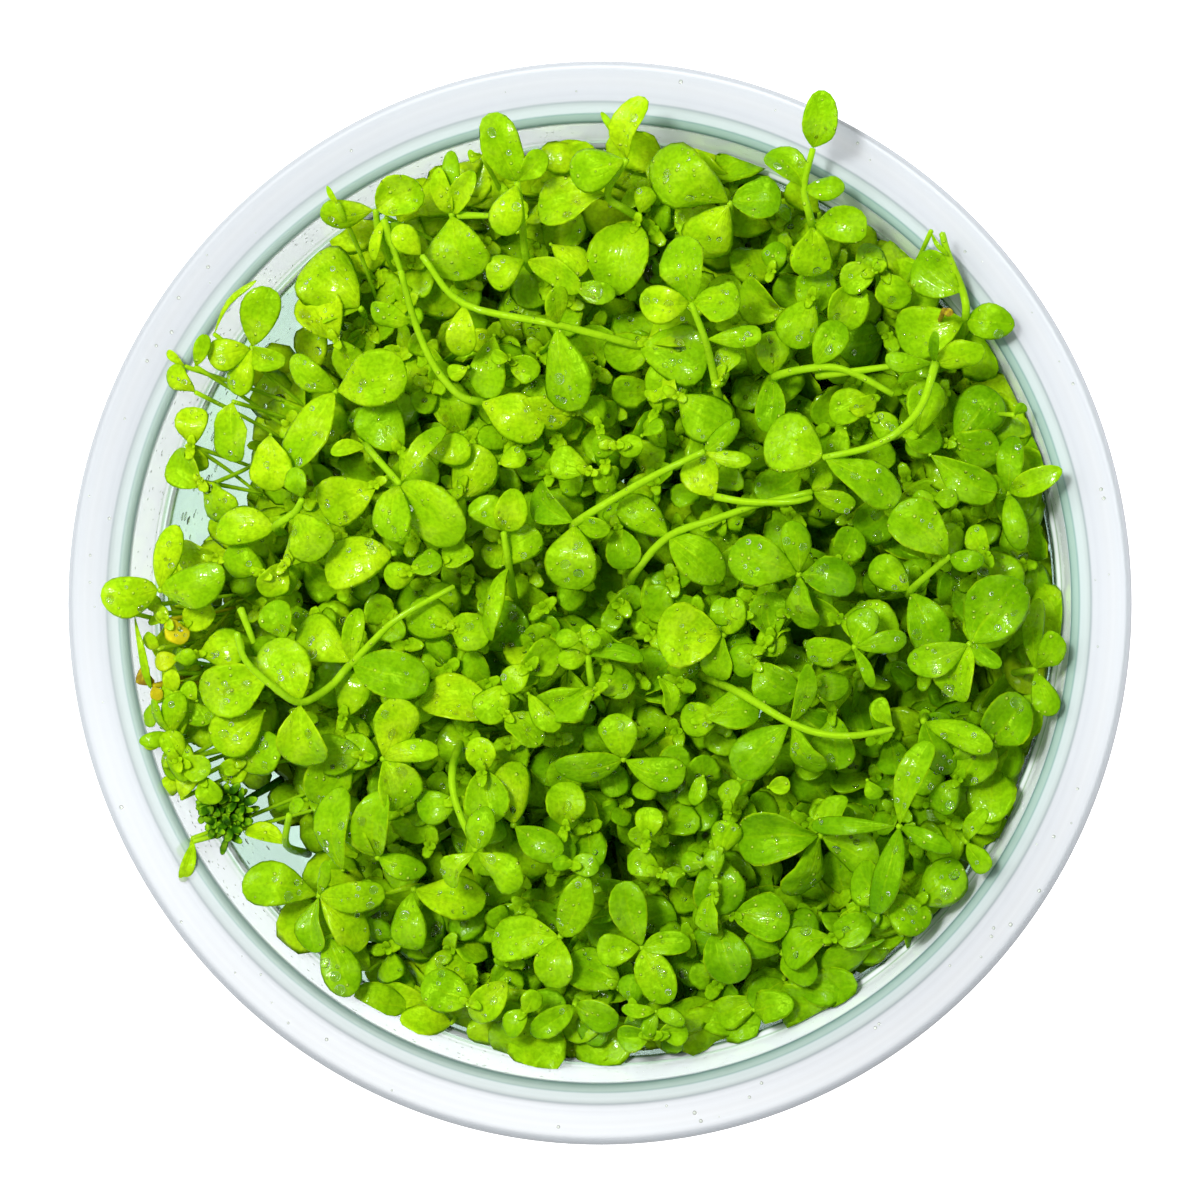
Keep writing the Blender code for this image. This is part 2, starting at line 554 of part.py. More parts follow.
def build_mat(collection, roots):
    surface = material("lower_leaves", (0.10, 0.32, 0.01), 0.45)
    low = GEL_TOP + GAP
    top = [(share * MAT_RADIUS, MAT_TOP - MAT_FALL * share ** 4) for share in MAT_RINGS]
    side = [(0.96 * MAT_RADIUS, MAT_TOP - MAT_FALL - 0.6), (MAT_RADIUS, MAT_TOP - MAT_FALL - 4.0)]
    profile = top + side + [(MAT_FOOT_RADIUS, low), (0.0, low)]
    mesh = turned(profile, MAT_STEPS)
    for vert in mesh.vertices:
        squeeze = edge_radius(math.atan2(vert.co.y, vert.co.x)) / MAT_RADIUS
        vert.co.x *= squeeze
        vert.co.y *= squeeze
    add_node("lower_shoots", joined(mesh, leaf_cutter(mat_leaves(roots))), surface, collection, 30.0)


def build_shoots(collection):
    """All the shoots. Returns their roots, in millimetres."""
    surface = material("upper_leaves", (0.36, 0.62, 0.01), 0.38)
    roots = []
    for name, (knots, leaves) in SHOOTS.items():
        points = shoot_points(knots)
        placed = [(points[carrier], along_sight(x, y, z), width) for carrier, x, y, z, width in leaves]
        roots.append(points[0])
        add_node(name, joined(stem_mesh(points), leaf_cutter(placed)), surface, collection, 30.0)
    return roots


def build_moss(collection):
    """A rosette of narrow leaves on a short stalk. Returns its root, in millimetres."""
    surface = material("moss", (0.06, 0.16, 0.01), 0.6)
    centre = along_sight(*MOSS_CENTRE)
    root = root_point(-28.4, -16.4)
    leaves = []
    for slope, count, turn in MOSS_TIERS:
        for i in range(count):
            heading = math.tau * (i + turn) / count
            direction = Vector((math.cos(heading), math.sin(heading), slope)).normalized()
            leaves.append((centre, centre + direction * MOSS_LEAF_LENGTH, MOSS_LEAF_WIDTH))
    heart = leaf_cutter(leaves)
    cage = bmesh.new()
    cage.from_mesh(heart.data)
    ball = bmesh.ops.create_icosphere(cage, subdivisions=1, radius=MOSS_HEART * MM)
    bmesh.ops.translate(cage, verts=ball["verts"], vec=centre * MM)
    cage.to_mesh(heart.data)
    cage.free()
    add_node("moss_tuft", joined(stem_mesh([root, centre]), heart), surface, collection, 30.0)
    return root


def main():
    for obj in list(bpy.data.objects):
        bpy.data.objects.remove(obj)
    collection = bpy.data.collections.new("pearlweed")
    bpy.context.scene.collection.children.link(collection)
    build_tub(collection)
    build_gel(collection)
    roots = build_shoots(collection)
    roots.append(build_moss(collection))
    build_mat(collection, roots)


main()
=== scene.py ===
import math

import bpy
import numpy as np
from mathutils import Matrix, Vector


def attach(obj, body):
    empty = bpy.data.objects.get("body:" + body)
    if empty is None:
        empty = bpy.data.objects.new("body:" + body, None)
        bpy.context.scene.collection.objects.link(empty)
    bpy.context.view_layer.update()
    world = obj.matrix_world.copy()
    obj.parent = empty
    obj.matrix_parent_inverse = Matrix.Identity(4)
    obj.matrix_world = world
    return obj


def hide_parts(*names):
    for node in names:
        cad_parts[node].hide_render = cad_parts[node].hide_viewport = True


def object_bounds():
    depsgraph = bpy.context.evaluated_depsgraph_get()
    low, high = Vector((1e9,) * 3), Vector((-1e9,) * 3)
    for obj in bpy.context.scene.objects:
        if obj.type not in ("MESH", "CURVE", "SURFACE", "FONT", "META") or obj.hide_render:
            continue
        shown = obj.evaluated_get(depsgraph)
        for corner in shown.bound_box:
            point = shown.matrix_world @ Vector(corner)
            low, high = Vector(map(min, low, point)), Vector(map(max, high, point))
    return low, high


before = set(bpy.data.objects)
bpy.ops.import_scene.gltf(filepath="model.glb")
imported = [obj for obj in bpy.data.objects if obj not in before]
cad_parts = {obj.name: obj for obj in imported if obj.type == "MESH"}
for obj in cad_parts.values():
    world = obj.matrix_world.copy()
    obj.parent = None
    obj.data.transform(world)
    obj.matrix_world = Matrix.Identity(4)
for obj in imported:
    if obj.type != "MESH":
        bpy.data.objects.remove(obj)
cad_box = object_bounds()

MM = 0.001
BODY = "root"
UP = np.array((0.0, 0.0, 1.0))
GOLDEN_ANGLE = math.radians(137.508)
HIGHEST = cad_box[1][2] / MM - 0.02     # no point of a mesh is above this

# Camera, as the photograph was taken: over the rim's middle, leaning a little to the right.
RIM_Z = 42.0
CAMERA_DISTANCE = 450.0
CAMERA_TILT = math.radians(11.0)
VIEW_WIDTH = 110.64                     # what the picture's side spans at the rim
SENSOR = 36.0
OFF_CENTRE = (1.125, 0.277)             # how far the camera stands right of and above the rim's middle
CLIP_M = (0.01, 10.0)

# Tub
WALL = 0.8
TUB_STEPS = 240
INNER_WALL = ((3.0, 39.0), (35.0, 42.5), (35.6, 43.2), (40.85, 44.5))    # height, radius
FOOT_RADIUS = 39.0
FOOT_CORNER = 2.2
FLANGE_INSIDE = 46.6                    # radius of the flange's inner edge, and its height there
FLANGE_LOW = 41.35
CORNER_REACH = 0.5                      # how far from a corner its rounding starts
GEL_STEPS = 160
GEL_TOP = 12.0
GEL_GAP = 0.3                           # between the gel and the plastic

# Crowd of lower shoots
MAT_TOP = 35.0
MAT_FALL = 4.5
MAT_RADIUS = 40.8
MAT_BITES = ((138.0, 3.0), (168.0, 2.2), (214.0, 4.5))    # where it stands off the wall: degrees, depth
BITE_WIDTH = 17.0
CROWD_STEMS = 260
CROWD_TONE = 0.45                       # of its stems
WALL_CLEARANCE = 0.25                   # between the plants and the plastic
EDGE_LIFT = 4.5                         # how much higher it stands against the wall than its solid
WALL_LEAVES = 260
WALL_LEAF_HEIGHTS = (31.0, 36.6)
WALL_LEAF_SIZES = (3.8, 6.8)
CROWD_LEAF_SIZES = (5.2, 7.4)
NODE_SPACING = 4.1
SEEN_ABOVE = 30.0                       # leaves above this are finer and carry dew
BARE_BELOW = 24.0                       # stems are bare below this height, within this radius
BARE_WITHIN = 30.0

# Leaves
LEAF_THICKNESS = 0.32
STEM_RADIUS = 0.42
THIN_STEM = 0.24
HIDDEN_DEPTH = 31.0                     # how far down the stems of single leaves reach
EDGE_DEPTH = 33.0

# Shoots and leaves are read on the level READ_Z, as they look from EYE, and then slid along that
# line of sight to their own height.
READ_Z = 45.0
EYE = np.array((85.9, 0.0, 483.7))

rng = np.random.default_rng(11)

# Each shoot has its stem's points (x, y, height) from the root up, and its leaves
# (stem point that carries it, tip x, tip y, tip height, width). ROOT stands for the mat's surface.
ROOT = None
SHOOTS = {
    "shoot_01": (
        [(6.0, 23.0, ROOT), (5.3, 23.5, 39.5), (-2.2, 25.5, 43.0), (-11.0, 27.5, 44.0),
         (-15.0, 32.0, 45.0)],
        [(1, 11.7, 21.6, 40.5, 5.8), (2, -1.2, 17.5, 43.0, 5.4), (2, -2.6, 28.9, 46.5, 2.6),
         (3, -11.6, 22.6, 43.0, 3.0), (4, -17.6, 34.6, 46.5, 2.6)],
    ),
    "shoot_02": (
        [(-7.6, 18.2, ROOT), (-9.6, 18.5, 39.5), (-11.6, 19.2, 41.0), (-14.0, 22.1, 42.0),
         (-15.7, 26.0, 43.0), (-17.0, 30.6, 45.5)],
        [(4, -19.9, 27.4, 44.0, 2.6), (1, -4.0, 15.6, 40.5, 4.6)],
    ),
    "shoot_03": (
        [(-5.0, 30.5, ROOT), (-5.2, 31.6, 40.0), (-5.7, 36.4, 45.0), (-6.0, 38.6, 46.5)],
        [(3, -8.3, 45.0, 49.0, 3.9), (3, -3.8, 41.6, 47.5, 2.4), (3, -7.6, 33.8, 46.5, 3.3),
         (1, -0.2, 28.6, 42.0, 3.2), (1, -8.6, 29.6, 41.5, 3.4)],
    ),
    "shoot_04": (
        [(-12.0, 33.6, ROOT), (-12.2, 35.8, 41.5)],
        [(1, -11.2, 29.6, 40.6, 6.4), (1, -13.9, 39.8, 44.0, 2.0), (1, -10.1, 39.7, 44.0, 2.2),
         (1, -12.3, 41.6, 43.0, 1.8)],
    ),
    "shoot_05": (
        [(7.6, 33.6, ROOT), (4.4, 35.8, 40.0), (2.4, 37.4, 42.5), (4.2, 40.5, 46.0)],
        [(2, -4.2, 36.0, 43.4, 4.6), (3, 5.6, 46.2, 49.0, 3.0), (3, -1.2, 39.6, 46.6, 4.2),
         (3, 2.2, 45.0, 48.0, 0.8)],
    ),
    "shoot_06": (
        [(13.0, 32.5, ROOT), (13.8, 36.4, 42.5)],
        [(1, 6.6, 40.6, 44.5, 6.0), (1, 18.4, 36.4, 43.6, 4.2), (1, 10.6, 31.6, 41.0, 5.0)],
    ),
    "shoot_07": (
        [(21.2, 31.5, ROOT), (21.3, 34.4, 42.5), (20.6, 37.6, 45.0), (21.4, 41.2, 46.5)],
        [(3, 22.6, 46.3, 49.5, 3.3), (2, 17.4, 41.0, 46.5, 3.2), (2, 24.2, 37.6, 46.0, 2.4),
         (1, 26.4, 34.2, 44.0, 3.5), (1, 20.8, 29.6, 42.0, 4.2)],
    ),
    "shoot_08": (
        [(34.0, 22.0, ROOT), (35.3, 25.6, 42.0), (35.1, 28.0, 43.5), (33.7, 31.6, 45.0),
         (33.2, 33.4, 45.5)],
        [(1, 39.4, 24.8, 44.0, 3.4), (1, 29.0, 24.0, 41.5, 5.0), (2, 30.8, 31.2, 44.2, 4.6)],
    ),
    "shoot_09": (
        [(32.0, 20.2, ROOT), (32.6, 21.7, 45.5), (31.5, 18.2, 47.2), (29.7, 15.9, 48.0),
         (26.8, 14.2, 48.4), (22.4, 13.2, 48.0)],
        [(1, 28.0, 22.1, 46.5, 1.9), (1, 36.8, 22.8, 47.0, 2.9), (1, 32.4, 24.4, 49.5, 1.0),
         (5, 17.2, 15.6, 48.0, 5.8), (5, 29.4, 9.3, 47.5, 3.9)],
    ),
    "shoot_10": (
        [(17.7, 20.0, ROOT), (17.8, 20.5, 39.5), (19.8, 21.1, 41.5), (22.9, 21.4, 42.6),
         (25.4, 20.7, 42.6), (28.7, 18.9, 42.0)],
        [(1, 17.2, 24.6, 41.0, 3.4), (1, 17.0, 15.6, 40.5, 3.0)],
    ),
    "shoot_11": (
        [(-0.6, 6.8, ROOT), (-0.6, 7.3, 42.5), (4.5, 10.4, 44.0), (7.9, 12.2, 44.5),
         (11.4, 13.8, 45.0)],
        [(1, -1.2, 1.3, 43.5, 5.0), (1, 2.4, 6.7, 44.0, 2.4), (1, -4.6, 10.6, 41.4, 3.4),
         (4, 14.5, 16.6, 46.0, 1.9), (4, 15.8, 13.1, 45.6, 1.7)],
    ),
    "shoot_12": (
        [(4.0, 1.6, ROOT), (5.0, 2.8, 39.0), (8.1, 6.1, 41.0), (12.6, 7.7, 42.0), (16.9, 9.1, 42.8),
         (21.3, 10.1, 43.0)],
        [(2, 3.6, 9.3, 41.6, 3.5), (2, 13.4, 2.4, 40.6, 4.2), (5, 22.9, 11.9, 44.0, 1.7),
         (5, 25.4, 9.2, 42.5, 2.2)],
    ),
    "shoot_13": (
        [(13.0, -2.6, ROOT), (13.2, -2.9, 41.0)],
        [(1, 7.0, -2.6, 43.0, 6.2), (1, 14.6, 0.4, 43.0, 2.6), (1, 12.6, -7.0, 40.0, 3.2)],
    ),
    "shoot_14": (
        [(20.1, 1.8, ROOT), (20.1, 2.6, 45.5)],
        [(1, 13.6, 4.1, 47.0, 4.8), (1, 19.4, 7.4, 47.5, 2.8), (1, 25.2, 1.6, 46.5, 3.6),
         (1, 20.6, -2.6, 43.0, 3.6)],
    ),
    "shoot_15": (
        [(30.2, 0.6, ROOT), (30.3, 1.1, 42.0), (33.8, 4.2, 46.5)],
        [(1, 27.0, 4.0, 43.0, 3.4), (1, 33.2, -4.6, 42.5, 4.0), (2, 28.4, 8.0, 48.5, 4.8),
         (2, 36.8, 3.4, 47.5, 2.2)],
    ),
    "shoot_16": (
        [(34.6, -4.6, ROOT), (35.7, -3.7, 47.5)],
        [(1, 40.4, 1.8, 48.0, 5.8), (1, 30.1, -5.7, 48.0, 3.2), (1, 34.4, -8.8, 46.5, 4.4),
         (1, 38.4, -5.6, 49.0, 1.6)],
    ),
    "shoot_17": (
        [(10.4, -6.6, ROOT), (14.5, -8.1, 41.5), (19.4, -10.9, 44.0), (22.5, -11.9, 44.6),
         (25.3, -12.0, 44.6), (28.8, -11.4, 44.0)],
        [(2, 20.9, -5.6, 47.5, 2.0), (2, 14.0, -15.3, 43.4, 4.2), (2, 21.5, -15.7, 42.6, 3.2),
         (5, 27.4, -8.6, 45.0, 1.8)],
    ),
    "shoot_18": (
        [(31.4, -10.0, ROOT), (31.5, -10.7, 42.0)],
        [(1, 37.8, -13.2, 43.6, 2.8), (1, 33.8, -15.6, 40.5, 3.0)],
    ),
    "shoot_19": (
        [(29.0, -20.6, ROOT), (29.3, -20.2, 44.0)],
        [(1, 31.8, -12.7, 46.5, 2.8), (1, 27.6, -28.3, 44.0, 3.0), (1, 34.0, -22.4, 46.5, 1.9),
         (1, 21.0, -20.2, 43.6, 1.8)],
    ),
    "shoot_20": (
        [(33.6, -20.0, ROOT), (35.4, -21.5, 42.5)],
        [(1, 37.0, -18.6, 45.0, 1.7), (1, 37.4, -24.0, 43.5, 2.3)],
    ),
    "shoot_21": (
        [(22.2, -21.4, ROOT), (22.1, -21.1, 39.5)],
        [(1, 14.4, -21.4, 40.6, 5.2), (1, 27.2, -23.8, 39.5, 4.0), (1, 19.6, -27.0, 38.4, 4.0),
         (1, 24.2, -17.4, 40.6, 2.7)],
    ),
    "shoot_22": (
        [(18.4, -31.4, ROOT), (18.6, -31.8, 38.0)],
        [(1, 15.2, -30.4, 39.5, 2.8), (1, 21.4, -28.0, 37.5, 3.2), (1, 21.4, -34.2, 39.5, 3.2)],
    ),
    "shoot_23": (
        [(-19.2, -3.2, ROOT), (-21.7, -5.6, 40.5), (-23.8, -7.8, 42.5), (-26.6, -9.2, 45.0),
         (-29.2, -7.7, 47.3), (-31.8, -5.3, 48.4), (-32.6, -2.8, 49.0)],
        [(3, -25.5, -15.1, 45.0, 4.8), (3, -28.9, -3.2, 44.0, 5.0), (1, -21.0, -0.7, 42.0, 2.1),
         (1, -26.2, -1.4, 40.0, 4.4), (1, -14.4, -6.8, 42.5, 4.6)],
    ),
    "shoot_24": (
        [(-35.2, 1.4, ROOT), (-38.2, 1.3, 41.5), (-40.1, 1.2, 44.5)],
        [(2, -45.8, 0.9, 46.5, 4.0), (2, -34.0, 2.2, 46.5, 4.2), (2, -38.8, 7.2, 46.5, 2.7)],
    ),
    "shoot_25": (
        [(-28.6, 6.4, ROOT), (-29.0, 7.0, 42.0), (-27.1, 8.4, 44.0), (-26.4, 9.6, 45.0)],
        [(1, -34.7, 7.0, 43.0, 3.8), (3, -27.0, 12.5, 46.5, 2.3), (2, -24.2, 4.6, 44.2, 4.8)],
    ),
    "shoot_26": (
        [(-23.2, 18.0, ROOT), (-23.2, 19.6, 41.5)],
        [(1, -27.4, 22.7, 43.5, 2.9), (1, -16.8, 21.0, 44.0, 5.4), (1, -27.8, 12.6, 41.5, 4.4)],
    ),
    "shoot_27": (
        [(-29.6, 21.6, ROOT), (-31.2, 23.7, 40.5)],
        [(1, -29.3, 29.1, 43.0, 3.8), (1, -35.4, 22.8, 42.0, 3.2), (1, -33.0, 19.4, 40.5, 3.0),
         (1, -28.4, 22.2, 42.5, 2.4)],
    ),
    "shoot_28": (
        [(-17.6, 29.6, ROOT), (-18.9, 33.6, 40.0), (-19.4, 36.3, 42.5)],
        [(2, -24.7, 35.7, 43.5, 3.5), (2, -15.2, 38.6, 43.5, 4.2)],
    ),
    "shoot_29": (
        [(-20.8, 26.0, ROOT), (-20.8, 27.2, 39.0)],
        [(1, -26.0, 31.5, 40.0, 6.6), (1, -26.6, 25.8, 38.5, 2.4)],
    ),
    "shoot_30": (
        [(-20.8, 14.6, ROOT), (-20.2, 14.4, 41.5), (-17.1, 11.0, 45.0)],
        [(1, -23.6, 14.0, 43.0, 1.6), (2, -11.3, 6.1, 45.5, 5.8), (2, -17.6, 5.6, 46.8, 4.0),
         (2, -13.2, 16.6, 44.0, 2.0)],
    ),
    "shoot_31": (
        [(-17.6, 4.8, ROOT), (-17.7, 4.6, 40.5)],
        [(1, -24.3, 2.6, 41.5, 5.0)],
    ),
    "shoot_32": (
        [(-6.8, -0.6, ROOT), (-6.8, 3.4, 41.0), (-7.3, 6.5, 43.0)],
        [(2, -9.9, 9.6, 44.0, 3.2), (2, -5.8, 10.2, 44.5, 3.2), (1, -8.9, -3.4, 40.5, 2.4)],
    ),
    "shoot_33": (
        [(1.5, -10.0, ROOT), (1.0, -7.5, 40.5), (0.6, -4.9, 42.5)],
        [(2, -2.2, -5.2, 43.5, 2.0), (2, 5.7, -4.8, 43.5, 1.8), (2, 0.6, -2.0, 43.5, 1.8),
         (1, -4.4, -8.6, 41.0, 1.6)],
    ),
    "shoot_34": (
        [(3.9, -13.6, ROOT), (3.9, -14.3, 41.0)],
        [(1, -2.5, -15.3, 42.0, 3.5), (1, 9.5, -15.8, 42.0, 3.5), (1, 3.4, -10.2, 42.5, 3.8)],
    ),
    "shoot_35": (
        [(-15.4, -9.6, ROOT), (-15.4, -9.3, 39.0)],
        [(1, -8.8, -9.1, 40.0, 4.6)],
    ),
    "shoot_36": (
        [(-18.8, -14.8, ROOT), (-18.7, -14.4, 43.0)],
        [(1, -17.6, -9.0, 45.0, 4.6), (1, -13.6, -13.4, 44.0, 2.3), (1, -16.9, -19.0, 42.5, 4.6)],
    ),
    "shoot_37": (
        [(-19.0, -24.0, ROOT), (-19.2, -23.5, 41.5)],
        [(1, -19.4, -17.6, 44.5, 3.8), (1, -22.9, -20.0, 43.0, 2.2), (1, -14.6, -24.6, 41.0, 2.6)],
    ),
    "shoot_38": (
        [(-24.6, -25.2, ROOT), (-24.8, -27.1, 41.0)],
        [(1, -32.2, -26.2, 43.0, 4.4), (1, -18.6, -26.8, 42.0, 3.2), (1, -25.2, -32.4, 42.0, 3.0),
         (1, -20.2, -31.8, 39.5, 4.0), (1, -24.0, -24.0, 43.5, 1.4)],
    ),
    "shoot_39": (
        [(-26.6, -23.4, ROOT), (-27.9, -22.4, 40.0), (-27.6, -19.6, 44.0)],
        [(2, -26.4, -18.2, 45.0, 1.4), (1, -31.6, -20.6, 40.0, 2.2)],
    ),
    "shoot_40": (
        [(-15.6, -26.4, ROOT), (-15.8, -26.4, 38.5)],
        [(1, -9.2, -27.4, 39.0, 4.4), (1, -16.4, -32.0, 38.0, 3.8)],
    ),
    "shoot_41": (
        [(-11.6, -11.8, ROOT), (-12.1, -15.1, 41.5), (-11.8, -18.4, 43.0), (-9.9, -22.8, 44.5)],
        [(3, -9.0, -18.9, 46.0, 2.8), (3, -12.6, -26.0, 44.0, 2.8), (3, -5.6, -26.0, 45.0, 3.6)],
    ),
    "shoot_42": (
        [(-6.3, -20.0, ROOT), (-6.4, -20.4, 40.0)],
        [(1, -2.1, -23.4, 41.0, 3.2), (1, -6.2, -14.6, 40.5, 3.8)],
    ),
    "shoot_43": (
        [(-2.4, -30.4, ROOT), (-2.0, -30.6, 40.0)],
        [(1, -3.0, -35.2, 41.5, 3.8), (1, -8.6, -31.6, 39.5, 4.4), (1, 0.4, -25.4, 43.5, 3.4)],
    ),
    "shoot_44": (
        [(5.6, -31.0, ROOT), (5.6, -31.5, 39.5)],
        [(1, 4.3, -25.4, 41.5, 3.6), (1, 1.4, -32.0, 40.5, 3.2), (1, 8.4, -36.4, 39.5, 3.8),
         (1, 10.2, -31.2, 39.5, 2.4)],
    ),
    "shoot_45": (
        [(-0.6, -35.2, ROOT), (-0.6, -36.8, 38.5)],
        [(1, 3.2, -38.4, 40.0, 3.2), (1, -4.6, -39.6, 40.5, 2.6)],
    ),
    "shoot_46": (
        [(37.0, 9.0, ROOT), (39.2, 9.9, 41.5)],
        [(1, 40.4, 4.8, 42.0, 2.4), (1, 39.6, 15.0, 42.5, 2.6), (1, 43.8, 12.2, 44.5, 2.4),
         (1, 36.4, 10.8, 43.5, 1.8)],
    ),
    "shoot_47": (
        [(37.6, -6.6, ROOT), (41.6, -6.0, 41.5)],
        [(1, 44.0, -3.0, 44.0, 2.6), (1, 43.0, -10.2, 42.5, 2.6), (1, 42.2, 0.2, 43.0, 2.0)],
    ),
    "shoot_48": (
        [(-34.6, -10.6, ROOT), (-38.9, -12.4, 42.0)],
        [(1, -38.4, -8.3, 43.5, 2.5), (1, -41.9, -13.0, 44.0, 1.6), (1, -37.6, -16.6, 42.5, 2.8),
         (1, -41.0, -9.0, 44.0, 1.6)],
    ),
    "shoot_49": (
        [(13.4, 16.8, ROOT), (12.8, 18.5, 40.0), (12.1, 21.6, 43.0), (11.5, 24.0, 45.0),
         (10.2, 27.3, 46.5)],
        [(4, 9.1, 33.4, 48.0, 4.3), (4, 5.4, 27.8, 47.5, 3.6), (4, 14.7, 26.9, 47.0, 4.6),
         (3, 16.6, 24.5, 46.0, 2.2)],
    ),
    "shoot_50": (
        [(25.6, -5.6, ROOT), (25.2, -4.0, 46.5)],
        [(1, 20.8, -4.4, 47.5, 3.0), (1, 26.8, -0.6, 47.0, 3.0), (1, 30.0, -3.6, 46.5, 2.2),
         (1, 26.9, -7.6, 46.5, 1.2)],
    ),
}

# More leaves of the upper layer: foot x, y, tip x, y, height, width.
LONG_LEAVES = (
    # upper left
    (-23.0, 36.9, -24.0, 38.6, 46.0, 0.6), (-18.4, 35.6, -19.7, 31.7, 43.0, 1.2),
    (-34.8, 25.0, -30.8, 30.0, 43.0, 0.9), (-33.0, 18.7, -32.9, 13.1, 42.0, 4.0),
    (-29.4, 15.6, -29.3, 10.4, 42.5, 4.3), (-17.3, 31.9, -17.6, 35.2, 42.0, 3.0),
    (-36.6, 19.6, -39.2, 21.9, 42.5, 2.4), (-36.6, 22.0, -35.6, 25.0, 43.0, 1.6),
    (-37.6, 22.0, -39.4, 23.4, 42.5, 0.9),
    # top
    (-0.6, 29.1, 3.0, 28.2, 42.0, 2.3), (-8.2, 24.6, -8.8, 18.8, 39.5, 3.5),
    (-2.9, 32.9, 0.4, 30.6, 41.0, 3.2),
    # upper right
    (32.2, 33.6, 33.6, 31.4, 46.0, 0.5), (32.1, 13.4, 38.0, 9.5, 43.0, 3.6),
    (21.6, 21.6, 24.0, 25.4, 43.0, 3.2), (31.0, 15.2, 32.4, 20.0, 42.5, 3.6),
    (34.4, 14.8, 38.0, 19.0, 41.0, 4.9),
    # left
    (-42.5, -1.0, -41.5, -8.0, 43.0, 0.9), (-22.5, -24.7, -22.9, -17.0, 43.0, 4.0),
    (-24.0, -31.0, -21.8, -36.4, 41.0, 3.8), (-29.6, -6.6, -36.4, -8.6, 43.6, 5.3),
    (-28.0, -3.4, -29.2, 0.2, 43.0, 3.4), (-30.0, -10.0, -35.0, -13.2, 42.0, 4.8),
    (-36.8, -22.2, -37.9, -26.0, 41.5, 1.4), (-38.2, -8.0, -38.6, -12.6, 40.8, 2.5),
    (-38.0, -18.2, -36.4, -14.4, 40.8, 2.6), (-39.0, -1.6, -41.2, -1.7, 41.2, 1.2),
    # middle
    (12.4, 9.7, 10.4, 13.4, 43.0, 3.9), (-5.0, -8.3, -2.2, -11.7, 42.5, 2.3),
    (-7.6, 3.4, -4.0, 6.6, 41.5, 3.6), (-14.6, 14.0, -10.4, 14.0, 42.0, 3.2),
    # below
    (11.3, -15.8, 10.3, -18.4, 41.5, 1.8), (24.3, -31.2, 28.0, -30.4, 41.0, 0.5),
    (-7.0, -34.8, -10.3, -38.4, 41.0, 3.2), (6.9, -37.3, 6.1, -39.6, 42.0, 1.6),
    (6.9, -37.3, 9.6, -38.4, 42.0, 1.6), (6.9, -37.3, 3.7, -37.1, 42.3, 1.4),
    (7.2, -6.8, 8.4, -10.2, 42.5, 1.8),
)

